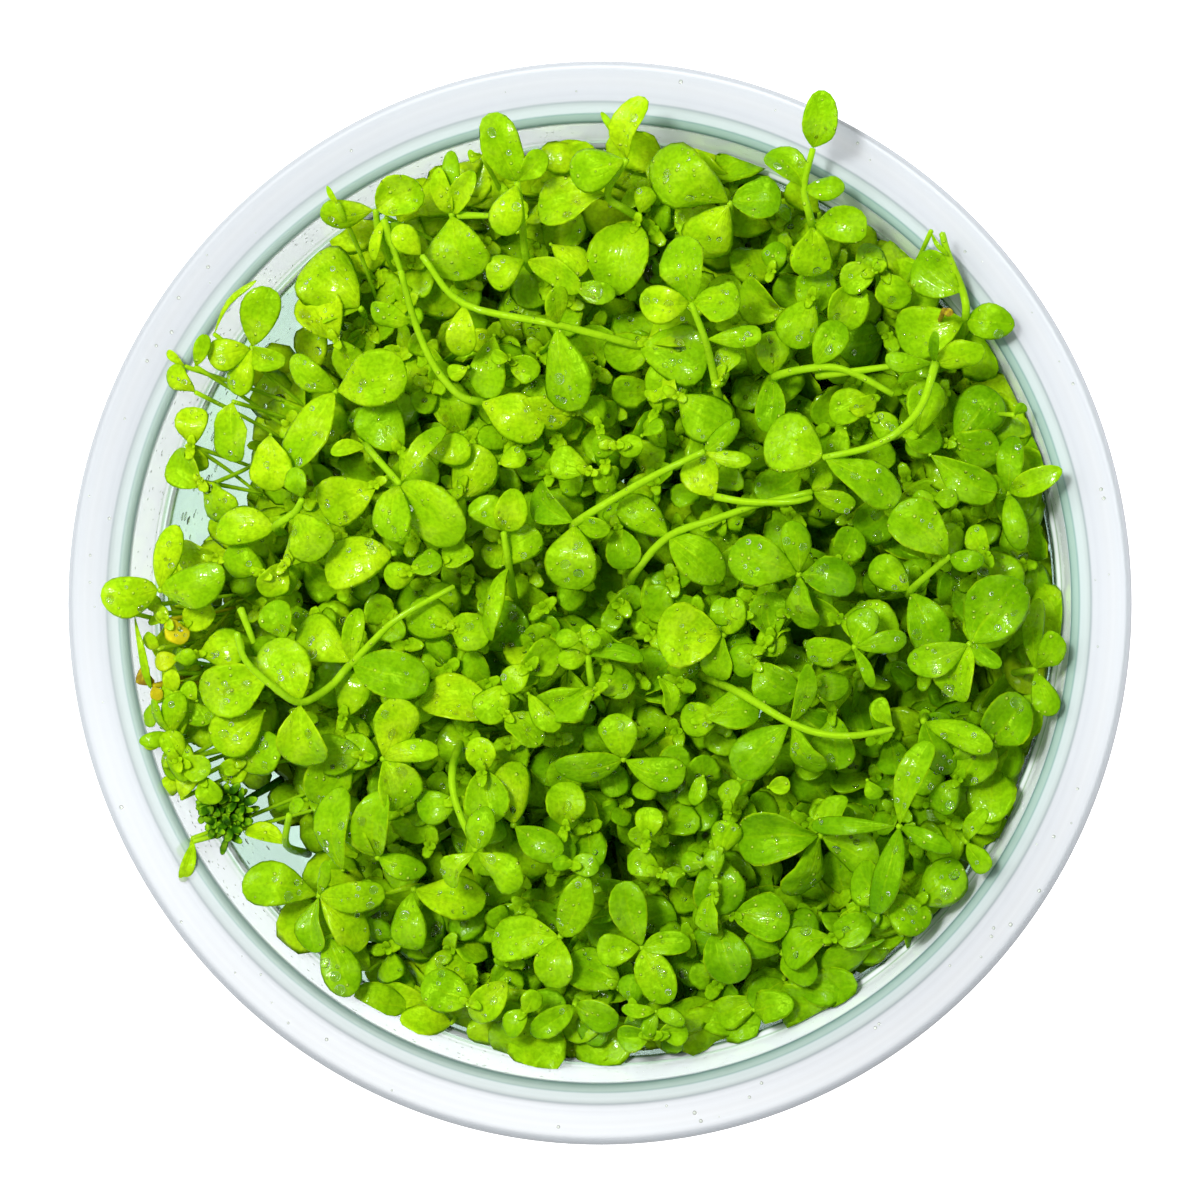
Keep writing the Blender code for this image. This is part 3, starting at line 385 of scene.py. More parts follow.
# Rounder leaves, whose foot is hidden: middle x, y, height, width.
ROUND_LEAVES = (
    # top
    (5.8, 36.8, 40.0, 2.2), (3.9, 31.5, 39.6, 5.9), (-11.6, 21.4, 42.0, 1.7), (-7.6, 22.7, 41.4, 1.5),
    (-5.3, 21.8, 39.2, 2.8), (-10.0, 41.3, 43.0, 1.2), (8.4, 24.6, 39.6, 4.4), (4.4, 23.2, 39.0, 4.0),
    # upper right
    (20.3, 25.5, 41.5, 4.2), (24.6, 27.0, 40.5, 4.2), (25.6, 29.4, 41.5, 3.0), (28.8, 28.4, 40.5, 3.2),
    (27.5, 30.4, 42.0, 1.2), (18.0, 31.5, 40.0, 2.4), (13.5, 21.8, 42.0, 2.5), (31.5, 14.8, 40.5, 3.0),
    (25.9, 18.0, 41.5, 2.2), (27.8, 16.0, 40.5, 2.6), (24.0, 14.6, 40.5, 2.2), (24.8, 17.6, 38.8, 3.4),
    (40.2, 17.4, 44.0, 1.2), (21.4, 28.2, 39.0, 4.0), (17.0, 27.6, 38.8, 4.4),
    # left
    (-36.5, 4.6, 40.5, 3.4), (-32.0, 3.6, 41.5, 3.6), (-29.0, 2.2, 41.0, 3.2), (-27.0, 4.8, 41.5, 3.0),
    (-22.0, 10.0, 41.0, 5.0), (-40.0, -1.0, 42.0, 1.7), (-30.5, -14.0, 40.0, 4.2),
    (-22.0, -8.5, 40.0, 3.8), (-23.0, -13.8, 40.5, 4.0), (-24.0, -16.0, 39.8, 4.8),
    (-21.3, -14.0, 39.4, 3.6), (-38.8, -13.3, 43.0, 2.5), (-36.6, -15.2, 42.6, 2.7),
    (-35.2, -17.3, 42.0, 2.5), (-34.4, 9.6, 40.0, 4.2), (-37.2, 12.4, 39.6, 3.8), (-36.8, 16.4, 40.4, 3.2),
    (-24.4, 26.6, 39.4, 4.6), (-40.5, -0.2, 41.5, 1.6), (-36.2, -1.4, 40.4, 3.0), (-38.7, -7.8, 41.4, 2.2),
    (-36.2, -9.7, 40.2, 3.2), (-40.8, -10.4, 40.4, 2.1), (-40.8, -12.9, 40.5, 1.6),
    (-38.2, -14.8, 40.6, 3.3), (-39.2, -16.9, 40.2, 2.0), (-32.9, -15.4, 39.6, 2.6),
    (-34.2, -4.4, 40.2, 4.0), (-37.4, -22.9, 40.4, 1.8),
    # middle
    (-17.0, 2.6, 42.4, 2.7), (-14.6, 3.4, 42.8, 2.8), (-11.6, 4.2, 42.2, 2.7), (-10.5, 12.0, 40.5, 4.5),
    (-6.5, 13.2, 40.0, 2.2), (-1.0, 12.8, 42.5, 3.3), (2.3, 11.5, 41.2, 2.5), (2.3, 14.4, 42.4, 2.3),
    (4.4, 14.4, 42.4, 2.3), (1.3, 17.5, 40.6, 2.6), (6.5, 16.0, 42.2, 2.0), (11.2, 17.5, 41.5, 4.8),
    (3.9, 5.0, 39.8, 3.4), (-10.7, -2.6, 39.9, 3.8), (-4.0, -5.0, 41.0, 3.6), (-1.3, -3.3, 44.5, 1.9),
    (0.9, -3.4, 44.5, 1.7), (24.4, 5.2, 40.0, 3.2), (17.5, -1.2, 40.5, 3.8), (21.2, -0.4, 40.5, 3.6),
    (13.5, -1.0, 42.0, 2.7), (17.6, -3.2, 40.0, 3.0), (15.5, -5.0, 41.0, 3.2), (17.8, -7.0, 41.5, 4.2),
    (23.0, -7.3, 42.4, 3.0), (26.5, -2.5, 42.5, 4.8), (-14.0, -1.6, 40.0, 4.2), (-12.4, 8.6, 40.4, 4.0),
    (-3.2, 17.6, 39.4, 4.4), (7.6, 19.8, 39.4, 4.2), (-18.6, 16.2, 40.0, 4.8), (-15.6, 12.4, 39.8, 4.2),
    # below
    (13.8, -10.0, 41.0, 4.5), (11.2, -10.6, 40.6, 3.4), (13.8, -17.6, 41.0, 2.6), (18.3, -16.5, 43.4, 1.8),
    (27.0, -16.8, 43.4, 1.7), (33.7, -17.3, 41.8, 3.1), (13.4, -21.5, 41.6, 3.0), (12.5, -25.5, 40.4, 5.0),
    (10.5, -23.7, 42.0, 2.1), (12.4, -23.7, 42.0, 2.1), (8.9, -25.3, 42.0, 1.4), (12.2, -28.3, 41.4, 3.2),
    (13.5, -32.0, 39.6, 4.6), (30.0, -28.0, 41.4, 3.9), (32.8, -25.3, 41.4, 4.6), (25.0, -29.5, 40.6, 3.2),
    (-8.2, -9.2, 41.6, 3.6), (-6.0, -6.9, 42.4, 2.7), (-0.7, -9.3, 41.6, 4.3), (-5.4, -11.6, 42.0, 3.7),
    (3.2, -7.0, 39.6, 3.4), (-9.5, -14.0, 42.4, 2.9), (-9.0, -17.8, 41.6, 4.4), (-1.4, -18.5, 39.8, 3.8),
    (-13.5, -18.6, 41.0, 3.4), (6.3, -20.2, 42.0, 2.7), (5.9, -24.0, 41.4, 2.7), (-1.7, -23.9, 43.8, 1.7),
    (0.3, -24.1, 43.4, 2.3), (-12.7, -35.8, 41.0, 4.2), (1.0, -34.0, 38.8, 4.8), (-4.8, -36.6, 41.6, 2.1),
    (4.8, -35.6, 39.8, 2.8), (4.9, -39.5, 40.8, 2.7), (8.5, -39.3, 40.8, 2.5), (-6.0, -38.6, 41.0, 2.5),
    (16.6, -28.8, 39.4, 4.6), (21.0, -31.4, 39.4, 4.2), (27.2, -25.4, 40.0, 4.0), (23.4, -12.6, 39.6, 4.4),
    # right
    (38.9, -10.5, 41.6, 4.6), (36.5, 5.6, 44.4, 2.5), (31.5, 9.3, 44.4, 1.8), (33.5, 9.5, 44.4, 1.8),
    (37.4, -1.4, 40.4, 4.8), (36.0, 14.0, 39.6, 4.4), (38.2, 2.6, 40.0, 4.4), (35.8, -14.2, 39.8, 4.4),
)

# Small leaves that yellow and die back at the left wall: middle x, y, height, width, age.
FADING_LEAVES = (
    (-38.5, -2.6, 42.4, 2.4, 0.45), (-40.8, -3.5, 42.0, 1.6, 0.1), (-39.4, -5.4, 42.2, 2.0, 0.2),
    (-37.6, -5.0, 42.6, 1.8, 0.0), (-41.2, -6.8, 41.8, 1.8, 0.9), (-38.8, -7.2, 42.4, 1.8, 0.1),
    (-40.4, -8.4, 42.0, 1.3, 0.6), (-37.0, -8.2, 42.4, 1.7, 0.0), (33.8, 26.3, 45.6, 0.8, 1.0),
)

# Stems of the upper layer that carry leaves from outside the shoots.
LOOSE_STEMS = (
    ((21.8, 20.6, 41.0), (25.2, 21.0, 42.6), (29.8, 21.6, 42.0)),
    ((12.4, 9.7, 43.0), (15.4, 9.2, 43.4), (19.4, 9.2, 43.4), (21.3, 9.6, 43.0)),
    ((-11.6, 35.7, 42.0), (-8.6, 35.6, 42.5)),
    ((-21.7, -5.7, 40.8), (-19.4, -3.3, 41.6), (-17.1, -1.3, 41.8), (-12.0, 1.5, 41.0)),
    ((-32.3, -0.5, 43.0), (-31.0, -3.7, 43.0)),
    ((-18.6, 35.4, 43.0), (-16.8, 30.0, 41.0)),
)

# Single large dew drops, each on the leaf seen nearest to it: middle x, y, diameter.
BIG_DROPS = ((2.5, 26.2, 2.2), (4.4, 29.8, 2.3), (-8.3, 27.2, 2.0))


def along_sight(x, y, z):
    """The point at height z that is seen at x, y on the reading level."""
    reach = (EYE[2] - z) / (EYE[2] - READ_Z)
    return np.array((EYE[0] + (x - EYE[0]) * reach, EYE[1] + (y - EYE[1]) * reach, z))


def seen_at(point):
    """Where a point is seen on the reading level, as x, y."""
    reach = (EYE[2] - point[2]) / (EYE[2] - READ_Z)
    return EYE[:2] + (point[:2] - EYE[:2]) / reach


def edge_radius(azimuth):
    """How far the crowd reaches from the tub's axis in one direction."""
    radius = MAT_RADIUS
    for centre, depth in MAT_BITES:
        off = (math.degrees(azimuth) - centre + 180.0) % 360.0 - 180.0
        radius -= depth * math.exp(-((off / BITE_WIDTH) ** 2))
    return radius


def mat_height(x, y):
    """Height of the crowd's solid at a place."""
    share = math.hypot(x, y) / edge_radius(math.atan2(y, x))
    return MAT_TOP - MAT_FALL * share ** 4


def wall_radius(z):
    """Inner radius of the tub at a height or an array of heights."""
    heights, radii = zip(*INNER_WALL)
    return np.interp(z, heights, radii)


def unit(vector):
    return vector / max(np.linalg.norm(vector), 1e-9)


def radial(azimuth):
    """The direction away from the tub's axis."""
    return np.array((math.cos(azimuth), math.sin(azimuth), 0.0))


# Meshes
class Bodies:
    """Gathers many small closed bodies into one mesh.

    look holds four numbers a point for the material: place along the leaf, place across it from
    0 to 1, tone from dark to bright that carries painted shade and light, and 1 on a stem. age is 0 for
    fresh and 1 for dead.
    """

    def __init__(self):
        self.points = []
        self.quads = []
        self.triangles = []
        self.look = []
        self.age = []
        self.count = 0

    def add(self, points, faces, look, age=0.0):
        quads, triangles = faces
        self.points.append(points)
        self.quads.append(quads + self.count)
        self.triangles.append(triangles + self.count)
        self.look.append(look)
        self.age.append(np.full(len(points), age))
        self.count += len(points)

    def build(self, name, surface, slot, hug_wall=False):
        """Makes the mesh and its piece; hug_wall keeps every point inside the tub's wall."""
        points = np.concatenate(self.points)
        if hug_wall:
            radius = np.hypot(points[:, 0], points[:, 1])
            limit = wall_radius(points[:, 2]) - WALL_CLEARANCE
            squeeze = np.where(radius > limit, limit / np.maximum(radius, 1e-6), 1.0)
            points[:, :2] *= squeeze[:, None]
        points[:, 2] = np.minimum(points[:, 2], HIGHEST)
        quads = np.concatenate(self.quads)
        triangles = np.concatenate(self.triangles)
        mesh = bpy.data.meshes.new(name)
        mesh.vertices.add(len(points))
        mesh.vertices.foreach_set("co", (points * MM).ravel())
        corners = np.concatenate([quads.ravel(), triangles.ravel()])
        mesh.loops.add(len(corners))
        mesh.loops.foreach_set("vertex_index", corners)
        starts = np.concatenate([
            np.arange(len(quads)) * 4,
            len(quads) * 4 + np.arange(len(triangles)) * 3,
        ])
        mesh.polygons.add(len(starts))
        mesh.polygons.foreach_set("loop_start", starts)
        mesh.polygons.foreach_set("use_smooth", np.ones(len(starts), dtype=bool))
        look = mesh.attributes.new("look", "FLOAT_COLOR", "POINT")
        look.data.foreach_set("color", np.concatenate(self.look).astype(np.float32).ravel())
        age = mesh.attributes.new("age", "FLOAT", "POINT")
        age.data.foreach_set("value", np.concatenate(self.age).astype(np.float32))
        mesh.update(calc_edges=True)
        return place(name, mesh, surface)


def place(name, mesh, surface):
    """Puts a mesh in the scene as a piece that rides on the only body."""
    mesh.materials.append(surface)
    piece = bpy.data.objects.new(name, mesh)
    bpy.context.scene.collection.objects.link(piece)
    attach(piece, BODY)
    return piece


def tube_faces(rings, around):
    """Faces of a closed tube: its first point, the rings, its last point. Returns quads, triangles."""
    ring = np.arange(around)
    following = (ring + 1) % around
    quads = []
    for i in range(rings - 1):
        low = 1 + i * around
        high = low + around
        quads.append(np.stack([low + ring, low + following, high + following, high + ring], axis=1))
    last = 1 + rings * around
    top = last - around
    start = np.stack([np.zeros(around, dtype=int), following + 1, ring + 1], axis=1)
    end = np.stack([np.full(around, last), top + ring, top + following], axis=1)
    return np.concatenate(quads), np.concatenate([start, end])


# How many rings a leaf has along it, and points around each
FINE_LEAF = (9, 12)
CROWD_LEAF = (7, 8)
HIDDEN_LEAF = (5, 8)
BUD_LEAF = (4, 6)
FACES = {size: tube_faces(*size) for size in (FINE_LEAF, CROWD_LEAF, HIDDEN_LEAF, BUD_LEAF)}


class Leaf:
    """One leaf: a thin closed blade from foot to tip, obovate, arched along and cupped across."""

    def __init__(self, foot, tip, width, tone, arch=0.08, cup=0.10, roll=0.0, bend=0.0, age=0.0):
        axis = unit(tip - foot)
        flat = UP - axis * axis[2]
        if np.linalg.norm(flat) < 0.2:
            flat = np.array((1.0, 0.0, 0.0)) - axis * axis[0]
        normal = unit(flat)
        side = np.cross(normal, axis)
        self.normal = unit(normal * math.cos(roll) + side * math.sin(roll))
        self.side = np.cross(self.normal, axis)
        self.axis = axis
        self.foot = foot
        self.length = np.linalg.norm(tip - foot)
        self.width = width
        self.tone = tone
        self.arch = arch
        self.cup = cup
        self.bend = bend
        self.age = age
        self.taper = rng.uniform(0.60, 1.10)
        self.round = rng.uniform(0.42, 0.58)
        self.curl = rng.uniform(0.0, 0.16)
        self.wave = rng.uniform(-0.08, 0.08, 3)

    def half_width(self, share):
        """Half the blade's width at a share of its length."""
        widest = self.taper / (self.taper + self.round)
        peak = widest ** self.taper * (1.0 - widest) ** self.round
        return 0.5 * self.width * share ** self.taper * (1.0 - share) ** self.round / peak

    def surface(self, share, across, lift=0.0):
        """Points on the blade's middle sheet, raised by lift along its normal."""
        half = self.half_width(share) * across
        rise = self.arch * self.length * 4.0 * share * (1.0 - share) - self.curl * self.length * share ** 3
        rise = rise + self.cup * self.width * across ** 2 * np.sin(math.pi * share)
        rise = rise + self.wave[0] * self.width * across * np.sin(2.0 * math.pi * share)
        rise = rise + self.wave[1] * self.width * np.sin(3.0 * math.pi * share) * (0.4 + across ** 2)
        rise = rise - 0.05 * self.width * np.exp(-((across / 0.16) ** 2)) * np.sin(math.pi * share) ** 0.5
        drift = self.bend * self.length * share ** 2 + self.wave[2] * self.length * np.sin(math.pi * share)
        along = np.multiply.outer(self.length * share, self.axis)
        return (
            self.foot + along
            + np.multiply.outer(half + drift, self.side)
            + np.multiply.outer(rise + lift, self.normal)
        )

    def point(self, share, across, lift):
        return self.surface(np.array([share]), np.array([across]), np.array([lift]))[0]

    def middle(self):
        return self.point(0.5, 0.0, 0.4 * LEAF_THICKNESS)

    def upward(self, share, across):
        """A point on the upper face, and the direction that the face looks in there."""
        lift = 0.5 * LEAF_THICKNESS
        at = self.point(share, across, lift)
        ahead = self.point(share + 0.02, across, lift) - at
        beside = self.point(share, across + 0.04, lift) - at
        normal = unit(np.cross(ahead, beside))
        return at, normal if np.dot(normal, self.normal) > 0.0 else -normal

    def add_to(self, bodies, size=FINE_LEAF):
        rings, around = size
        steps = np.arange(1, rings + 1) / (rings + 1)
        share = 0.5 - 0.5 * np.cos(math.pi * steps)
        angle = 2.0 * math.pi * np.arange(around) / around
        across = np.cos(angle)
        thick = np.sign(np.sin(angle)) * np.abs(np.sin(angle)) ** 0.5
        thick = np.where(np.abs(np.sin(angle)) < 1e-6, 0.0, thick)
        share_grid, across_grid = np.meshgrid(share, across, indexing="ij")
        thickness = LEAF_THICKNESS * min(1.0, 0.35 + self.width / 5.0)
        thick = np.broadcast_to(thick, share_grid.shape)
        lift = 0.5 * thickness * thick * np.sin(math.pi * share_grid) ** 0.25
        middle = self.surface(share_grid.ravel(), across_grid.ravel(), lift.ravel())
        ends = self.surface(np.array((0.0, 1.0)), np.zeros(2))
        points = np.concatenate([ends[:1], middle, ends[1:]])
        count = len(points)
        look = np.zeros((count, 4))
        look[1:-1, 0] = share_grid.ravel()
        look[-1, 0] = 1.0
        look[:, 1] = 0.5
        look[1:-1, 1] = 0.5 + 0.5 * across_grid.ravel()
        look[:, 2] = self.tone
        bodies.add(points, FACES[size], look, self.age)


def smooth_path(knots, steps=5):
    """A soft curve through the knots."""
    knots = np.asarray(knots, dtype=float)
    if len(knots) < 3:
        share = np.linspace(0.0, 1.0, steps + 1)[:, None]
        return knots[0] + (knots[-1] - knots[0]) * share
    padded = np.concatenate([[2 * knots[0] - knots[1]], knots, [2 * knots[-1] - knots[-2]]])
    path = []
    for a, b, c, d in zip(padded, padded[1:], padded[2:], padded[3:]):
        for i in range(steps):
            t = i / steps
            path.append(0.5 * (2 * b + (c - a) * t + (2 * a - 5 * b + 4 * c - d) * t ** 2
                               + (3 * b - a - 3 * c + d) * t ** 3))
    path.append(knots[-1])
    return np.array(path)


TUBE_FACES = {}     # of the stems made so far, by their numbers of rings and of points around


def add_stem(bodies, path, radius, tone, taper=0.72, around=8, age=0.0):
    """A round stem along a path, thinner towards its tip, with closed rounded ends."""
    count = len(path)
    if (count, around) not in TUBE_FACES:
        TUBE_FACES[(count, around)] = tube_faces(count, around)
    tangent = np.gradient(path, axis=0)
    tangent /= np.linalg.norm(tangent, axis=1)[:, None]
    side = unit(np.cross(tangent[0], np.array((0.31, 0.87, 0.38))))
    angle = 2.0 * math.pi * np.arange(around) / around
    rings = []
    for i in range(count):
        side = unit(side - tangent[i] * np.dot(side, tangent[i]))
        other = np.cross(tangent[i], side)
        size = radius * (1.0 - (1.0 - taper) * i / max(count - 1, 1))
        rings.append(path[i] + size * (np.outer(np.cos(angle), side) + np.outer(np.sin(angle), other)))
    start = path[:1] - tangent[:1] * radius * 0.4
    end = path[-1:] + tangent[-1:] * radius * 0.4
    points = np.concatenate([start, *rings, end])
    look = np.zeros((len(points), 4))
    look[:, 0] = np.concatenate([[0.0], np.repeat(np.linspace(0.0, 1.0, count), around), [1.0]])
    look[:, 1] = 0.5
    look[:, 2] = tone
    look[:, 3] = 1.0
    bodies.add(points, TUBE_FACES[(count, around)], look, age)


# A drop's points around, and its rings as (share of its height, share of its radius)
SMALL_DROP = (8, ((0.0, 0.95), (0.40, 0.96), (0.82, 0.58)))
LARGE_DROP = (16, ((0.0, 0.93), (0.22, 1.0), (0.48, 0.92), (0.72, 0.74), (0.91, 0.43)))
LARGE_RADIUS = 0.36
DROP_FACES = {around: tube_faces(len(rings), around) for around, rings in (SMALL_DROP, LARGE_DROP)}


def add_drop(bodies, middle, normal, radius, height=0.62):
    """A drop that sits on a surface: a dome with a nearly flat foot."""
    around, rings = LARGE_DROP if radius > LARGE_RADIUS else SMALL_DROP
    side = unit(np.cross(normal, np.array((0.41, 0.23, 0.88))))
    other = np.cross(normal, side)
    angle = 2.0 * math.pi * np.arange(around) / around
    circle = np.outer(np.cos(angle), side) + np.outer(np.sin(angle), other)
    points = [middle - normal * 0.04 * radius]
    for climb, reach in rings:
        points.extend(middle + radius * (circle * reach + normal * height * climb))
    points.append(middle + normal * radius * height)
    points = np.array(points)
    bodies.add(points, DROP_FACES[around], np.zeros((len(points), 4)))


# Materials
class Paint:
    """Short calls for building the nodes of one material."""

    def __init__(self, name):
        self.material = bpy.data.materials.new(name)
        self.material.use_nodes = True
        self.tree = self.material.node_tree
        self.tree.nodes.clear()
        self.output = self.tree.nodes.new("ShaderNodeOutputMaterial")

    def node(self, kind, inputs=None, **settings):
        made = self.tree.nodes.new("ShaderNode" + kind)
        for key, value in settings.items():
            setattr(made, key, value)
        for key, value in (inputs or {}).items():
            self.feed(made.inputs[key], value)
        return made

    def feed(self, socket, value):
        if isinstance(value, bpy.types.NodeSocket):
            self.tree.links.new(value, socket)
        else:
            socket.default_value = value

    def math(self, operation, first, second=0.0, third=0.0):
        made = self.node("Math", {0: first, 1: second, 2: third}, operation=operation)
        return made.outputs[0]

    def span(self, value, low, high, to_low=0.0, to_high=1.0, kind="SMOOTHSTEP"):
        """The value carried from one range to another, held at its ends."""
        made = self.node(
            "MapRange",
            {"Value": value, "From Min": low, "From Max": high, "To Min": to_low, "To Max": to_high},
            interpolation_type=kind,
        )
        return made.outputs[0]

    def mix(self, factor, first, second):
        made = self.node("Mix", {0: factor, 6: first, 7: second}, data_type="RGBA")
        return made.outputs[2]

    def ramp(self, value, stops):
        made = self.node("ValToRGB", {0: value})
        band = made.color_ramp
        while len(band.elements) < len(stops):
            band.elements.new(0.5)
        for element, (position, color) in zip(band.elements, stops):
            element.position = position
            element.color = (*color, 1.0)
        return made.outputs[0]

    def noise(self, scale, detail, vector=None):
        inputs = {"Scale": scale, "Detail": detail, "Vector": vector or self.place()}
        return self.node("TexNoise", inputs).outputs["Fac"]

    def place(self):
        """The point in the object's own space, in metres."""
        return self.node("TexCoord").outputs["Object"]

    def attribute(self, name):
        return self.node("Attribute", attribute_name=name)

    def bump(self, height, strength, distance):
        inputs = {"Height": height, "Strength": strength, "Distance": distance}
        return self.node("Bump", inputs).outputs["Normal"]

    def finish(self, shader):
        self.tree.links.new(shader, self.output.inputs["Surface"])
        return self.material


DARK_LEAF = (0.050, 0.200, 0.001)
DEEP_LEAF = (0.110, 0.330, 0.001)
MID_LEAF = (0.210, 0.480, 0.002)
BRIGHT_LEAF = (0.340, 0.640, 0.003)
# The palest green: the veins' own colour, and painted light at the top of the tone scale and on the
# margins.
PALE_AND_LIT_LEAF = (0.540, 0.800, 0.005)
STEM_GREEN = (0.400, 0.700, 0.010)
DEW_PAINTED_GLOW = (0.800, 0.980, 0.120)
DEAD_LEAF = (0.300, 0.170, 0.020)
YELLOW_LEAF = (0.720, 0.620, 0.010)
GRAIN_DARK = (0.020, 0.100, 0.000)
THROUGH_LEAF = (0.600, 0.900, 0.002)    # light that has passed through a leaf
LEAF_SHINE = (0.55, 0.95, 0.03, 1.0)
MOSS_DARK = (0.008, 0.050, 0.001)
MOSS_MID = (0.030, 0.140, 0.001)
MOSS_TIP = (0.190, 0.400, 0.004)
WATER_TINT = (0.96, 1.00, 0.88, 1.0)
LOWER_WALL = (0.48, 0.66, 0.57, 1.0)
UPPER_WALL = (0.90, 0.94, 0.97, 1.0)
WALL_LINE = (0.22, 0.40, 0.18, 1.0)
GROOVE_PALE = (0.46, 0.50, 0.52, 1.0)
TURNING_MARK = (0.80, 0.86, 0.92, 1.0)
GEL_PALE = (0.74, 0.86, 0.79, 1.0)
GEL_DULL = (0.64, 0.78, 0.71, 1.0)
FLOOR_GLOW = 1.7

# Side veins of a leaf: place from midrib 0 to margin 1, half width, strength
SIDE_VEINS = ((0.36, 0.045, 0.6), (0.68, 0.04, 0.45))

# Where the tub's material changes, in metres from its underside: the shoulder, and the top of the wall
SHOULDER = (0.0348, 0.0352)
WALL_END = (0.0401, 0.0404)


def fine_dew(paint):
    """Beads of dew too small to model, on some patches of the leaf: 1 in a bead and 0 around it."""
    cells = paint.node("TexVoronoi", {"Vector": paint.place(), "Scale": 1700.0, "Randomness": 1.0})
    chance = paint.node("SeparateColor", {"Color": cells.outputs["Color"]}).outputs[0]
    reach = paint.span(chance, 0.50, 1.0, 0.0, 0.36, kind="LINEAR")
    return paint.span(cells.outputs["Distance"], paint.math("MULTIPLY", reach, 0.4), reach, 1.0, 0.0)


def leaf_paint(name, dewy):
    """Leaf and stem: tone by leaf, faint veins, painted margin highlight, painted glow under fine dew,
    light that comes through.
    """
    paint = Paint(name)
    look = paint.attribute("look")
    parts = paint.node("SeparateColor", {"Color": look.outputs["Color"]})
    along, across, tone = parts.outputs
    stem = look.outputs["Alpha"]
    age = paint.attribute("age").outputs["Fac"]
    grain = paint.noise(2600.0, 1.0)
    patches = paint.noise(420.0, 1.0)

    tone = paint.math("ADD", tone, paint.span(patches, 0.3, 0.7, -0.09, 0.09))
    tone = paint.math("ADD", tone, paint.span(along, 0.0, 1.0, 0.07, -0.04))
    color = paint.ramp(tone, (
        (0.0, DARK_LEAF), (0.25, DEEP_LEAF), (0.5, MID_LEAF), (0.75, BRIGHT_LEAF), (1.0, PALE_AND_LIT_LEAF),
    ))
    # Veins follow the margin from foot to tip, so each keeps its share of the width.
    v = paint.math("SUBTRACT", paint.math("MULTIPLY", across, 2.0), 1.0)
    wobble = paint.span(patches, 0.0, 1.0, -0.07, 0.07)
    v = paint.math("ABSOLUTE", paint.math("ADD", v, wobble))
    veins = paint.span(v, 0.02, 0.10, 1.0, 0.0)
    for place_across, half_width, strength in SIDE_VEINS:
        away = paint.math("ABSOLUTE", paint.math("SUBTRACT", v, place_across))
        veins = paint.math("MAXIMUM", veins, paint.span(away, 0.0, half_width, strength, 0.0))
    veins = paint.math("MULTIPLY", veins, paint.span(along, 0.0, 0.85, 1.0, 0.25))
    color = paint.mix(paint.math("MULTIPLY", veins, 0.38), color, (*PALE_AND_LIT_LEAF, 1.0))
    # A painted highlight along the margin, where the leaf's rounded edge would catch the light.
    painted_margin_highlight = paint.span(v, 0.92, 1.0, 0.0, 0.55)
    color = paint.mix(painted_margin_highlight, color, (*PALE_AND_LIT_LEAF, 1.0))
    color = paint.mix(paint.span(grain, 0.35, 0.70, 0.0, 0.24), color, (*GRAIN_DARK, 1.0))
    color = paint.mix(paint.math("MULTIPLY", stem, 0.75), color, (*STEM_GREEN, 1.0))
    color = paint.mix(paint.span(age, 0.0, 0.5), color, (*YELLOW_LEAF, 1.0))
    spots = paint.math("MULTIPLY", paint.span(age, 0.4, 1.0), paint.span(grain, 0.3, 0.6, 0.5, 1.0))
    color = paint.mix(spots, color, (*DEAD_LEAF, 1.0))

    relief = paint.math("MULTIPLY_ADD", grain, 0.05, paint.math("MULTIPLY", patches, 0.45))
    relief = paint.math("MULTIPLY_ADD", veins, -0.03, relief)
    film = paint.span(patches, 0.52, 0.66, 0.0, 0.5)
    if dewy:
        beads = fine_dew(paint)
        # Each bead is painted brighter and yellower: a painted glow of the light it focuses onto the leaf.
        color = paint.mix(paint.math("MULTIPLY", beads, 0.70), color, (*DEW_PAINTED_GLOW, 1.0))
        relief = paint.math("MULTIPLY_ADD", beads, 0.16, relief)
        film = paint.math("MAXIMUM", film, beads)
    normal = paint.bump(relief, 1.0, 0.001)
    roughness = paint.span(patches, 0.35, 0.65, 0.30, 0.46)
    skin = paint.node("BsdfPrincipled", {
        "Base Color": color, "Roughness": roughness, "Normal": normal, "IOR": 1.45,
        "Specular IOR Level": 0.45, "Specular Tint": LEAF_SHINE,
        "Coat Weight": film, "Coat Roughness": 0.1, "Coat Normal": normal,
    })
    through = paint.mix(0.4, color, (*THROUGH_LEAF, 1.0))
    glow = paint.node("BsdfTranslucent", {"Color": through, "Normal": normal})
    mixed = paint.node("MixShader", {0: 0.42, 1: skin.outputs[0], 2: glow.outputs[0]})
    return paint.finish(mixed.outputs[0])


def moss_paint():
    """Dark narrow leaves with lighter tips."""
    paint = Paint("moss")
    along = paint.node("SeparateColor", {"Color": paint.attribute("look").outputs["Color"]}).outputs[0]
    tone = paint.math("ADD", paint.noise(1500.0, 3.0), paint.span(along, 0.4, 1.0, -0.12, 0.16))
    color = paint.ramp(tone, ((0.25, MOSS_DARK), (0.50, MOSS_MID), (0.75, MOSS_TIP)))
    skin = paint.node("BsdfPrincipled", {
        "Base Color": color, "Roughness": 0.4, "Specular IOR Level": 0.4,
        "Specular Tint": LEAF_SHINE, "Normal": paint.bump(tone, 0.4, 0.0001),
    })
    glow = paint.node("BsdfTranslucent", {"Color": color})
    mixed = paint.node("MixShader", {0: 0.2, 1: skin.outputs[0], 2: glow.outputs[0]})
    return paint.finish(mixed.outputs[0])


def water_paint():
    """Clear water with a faint ripple."""
    paint = Paint("dew")
    ripple = paint.bump(paint.noise(1800.0, 1.0), 0.05, 0.00005)
    drop = paint.node("BsdfPrincipled", {
        "Base Color": WATER_TINT, "Roughness": 0.0, "IOR": 1.33, "Transmission Weight": 1.0,
        "Normal": ripple,
    })
    return paint.finish(drop.outputs[0])


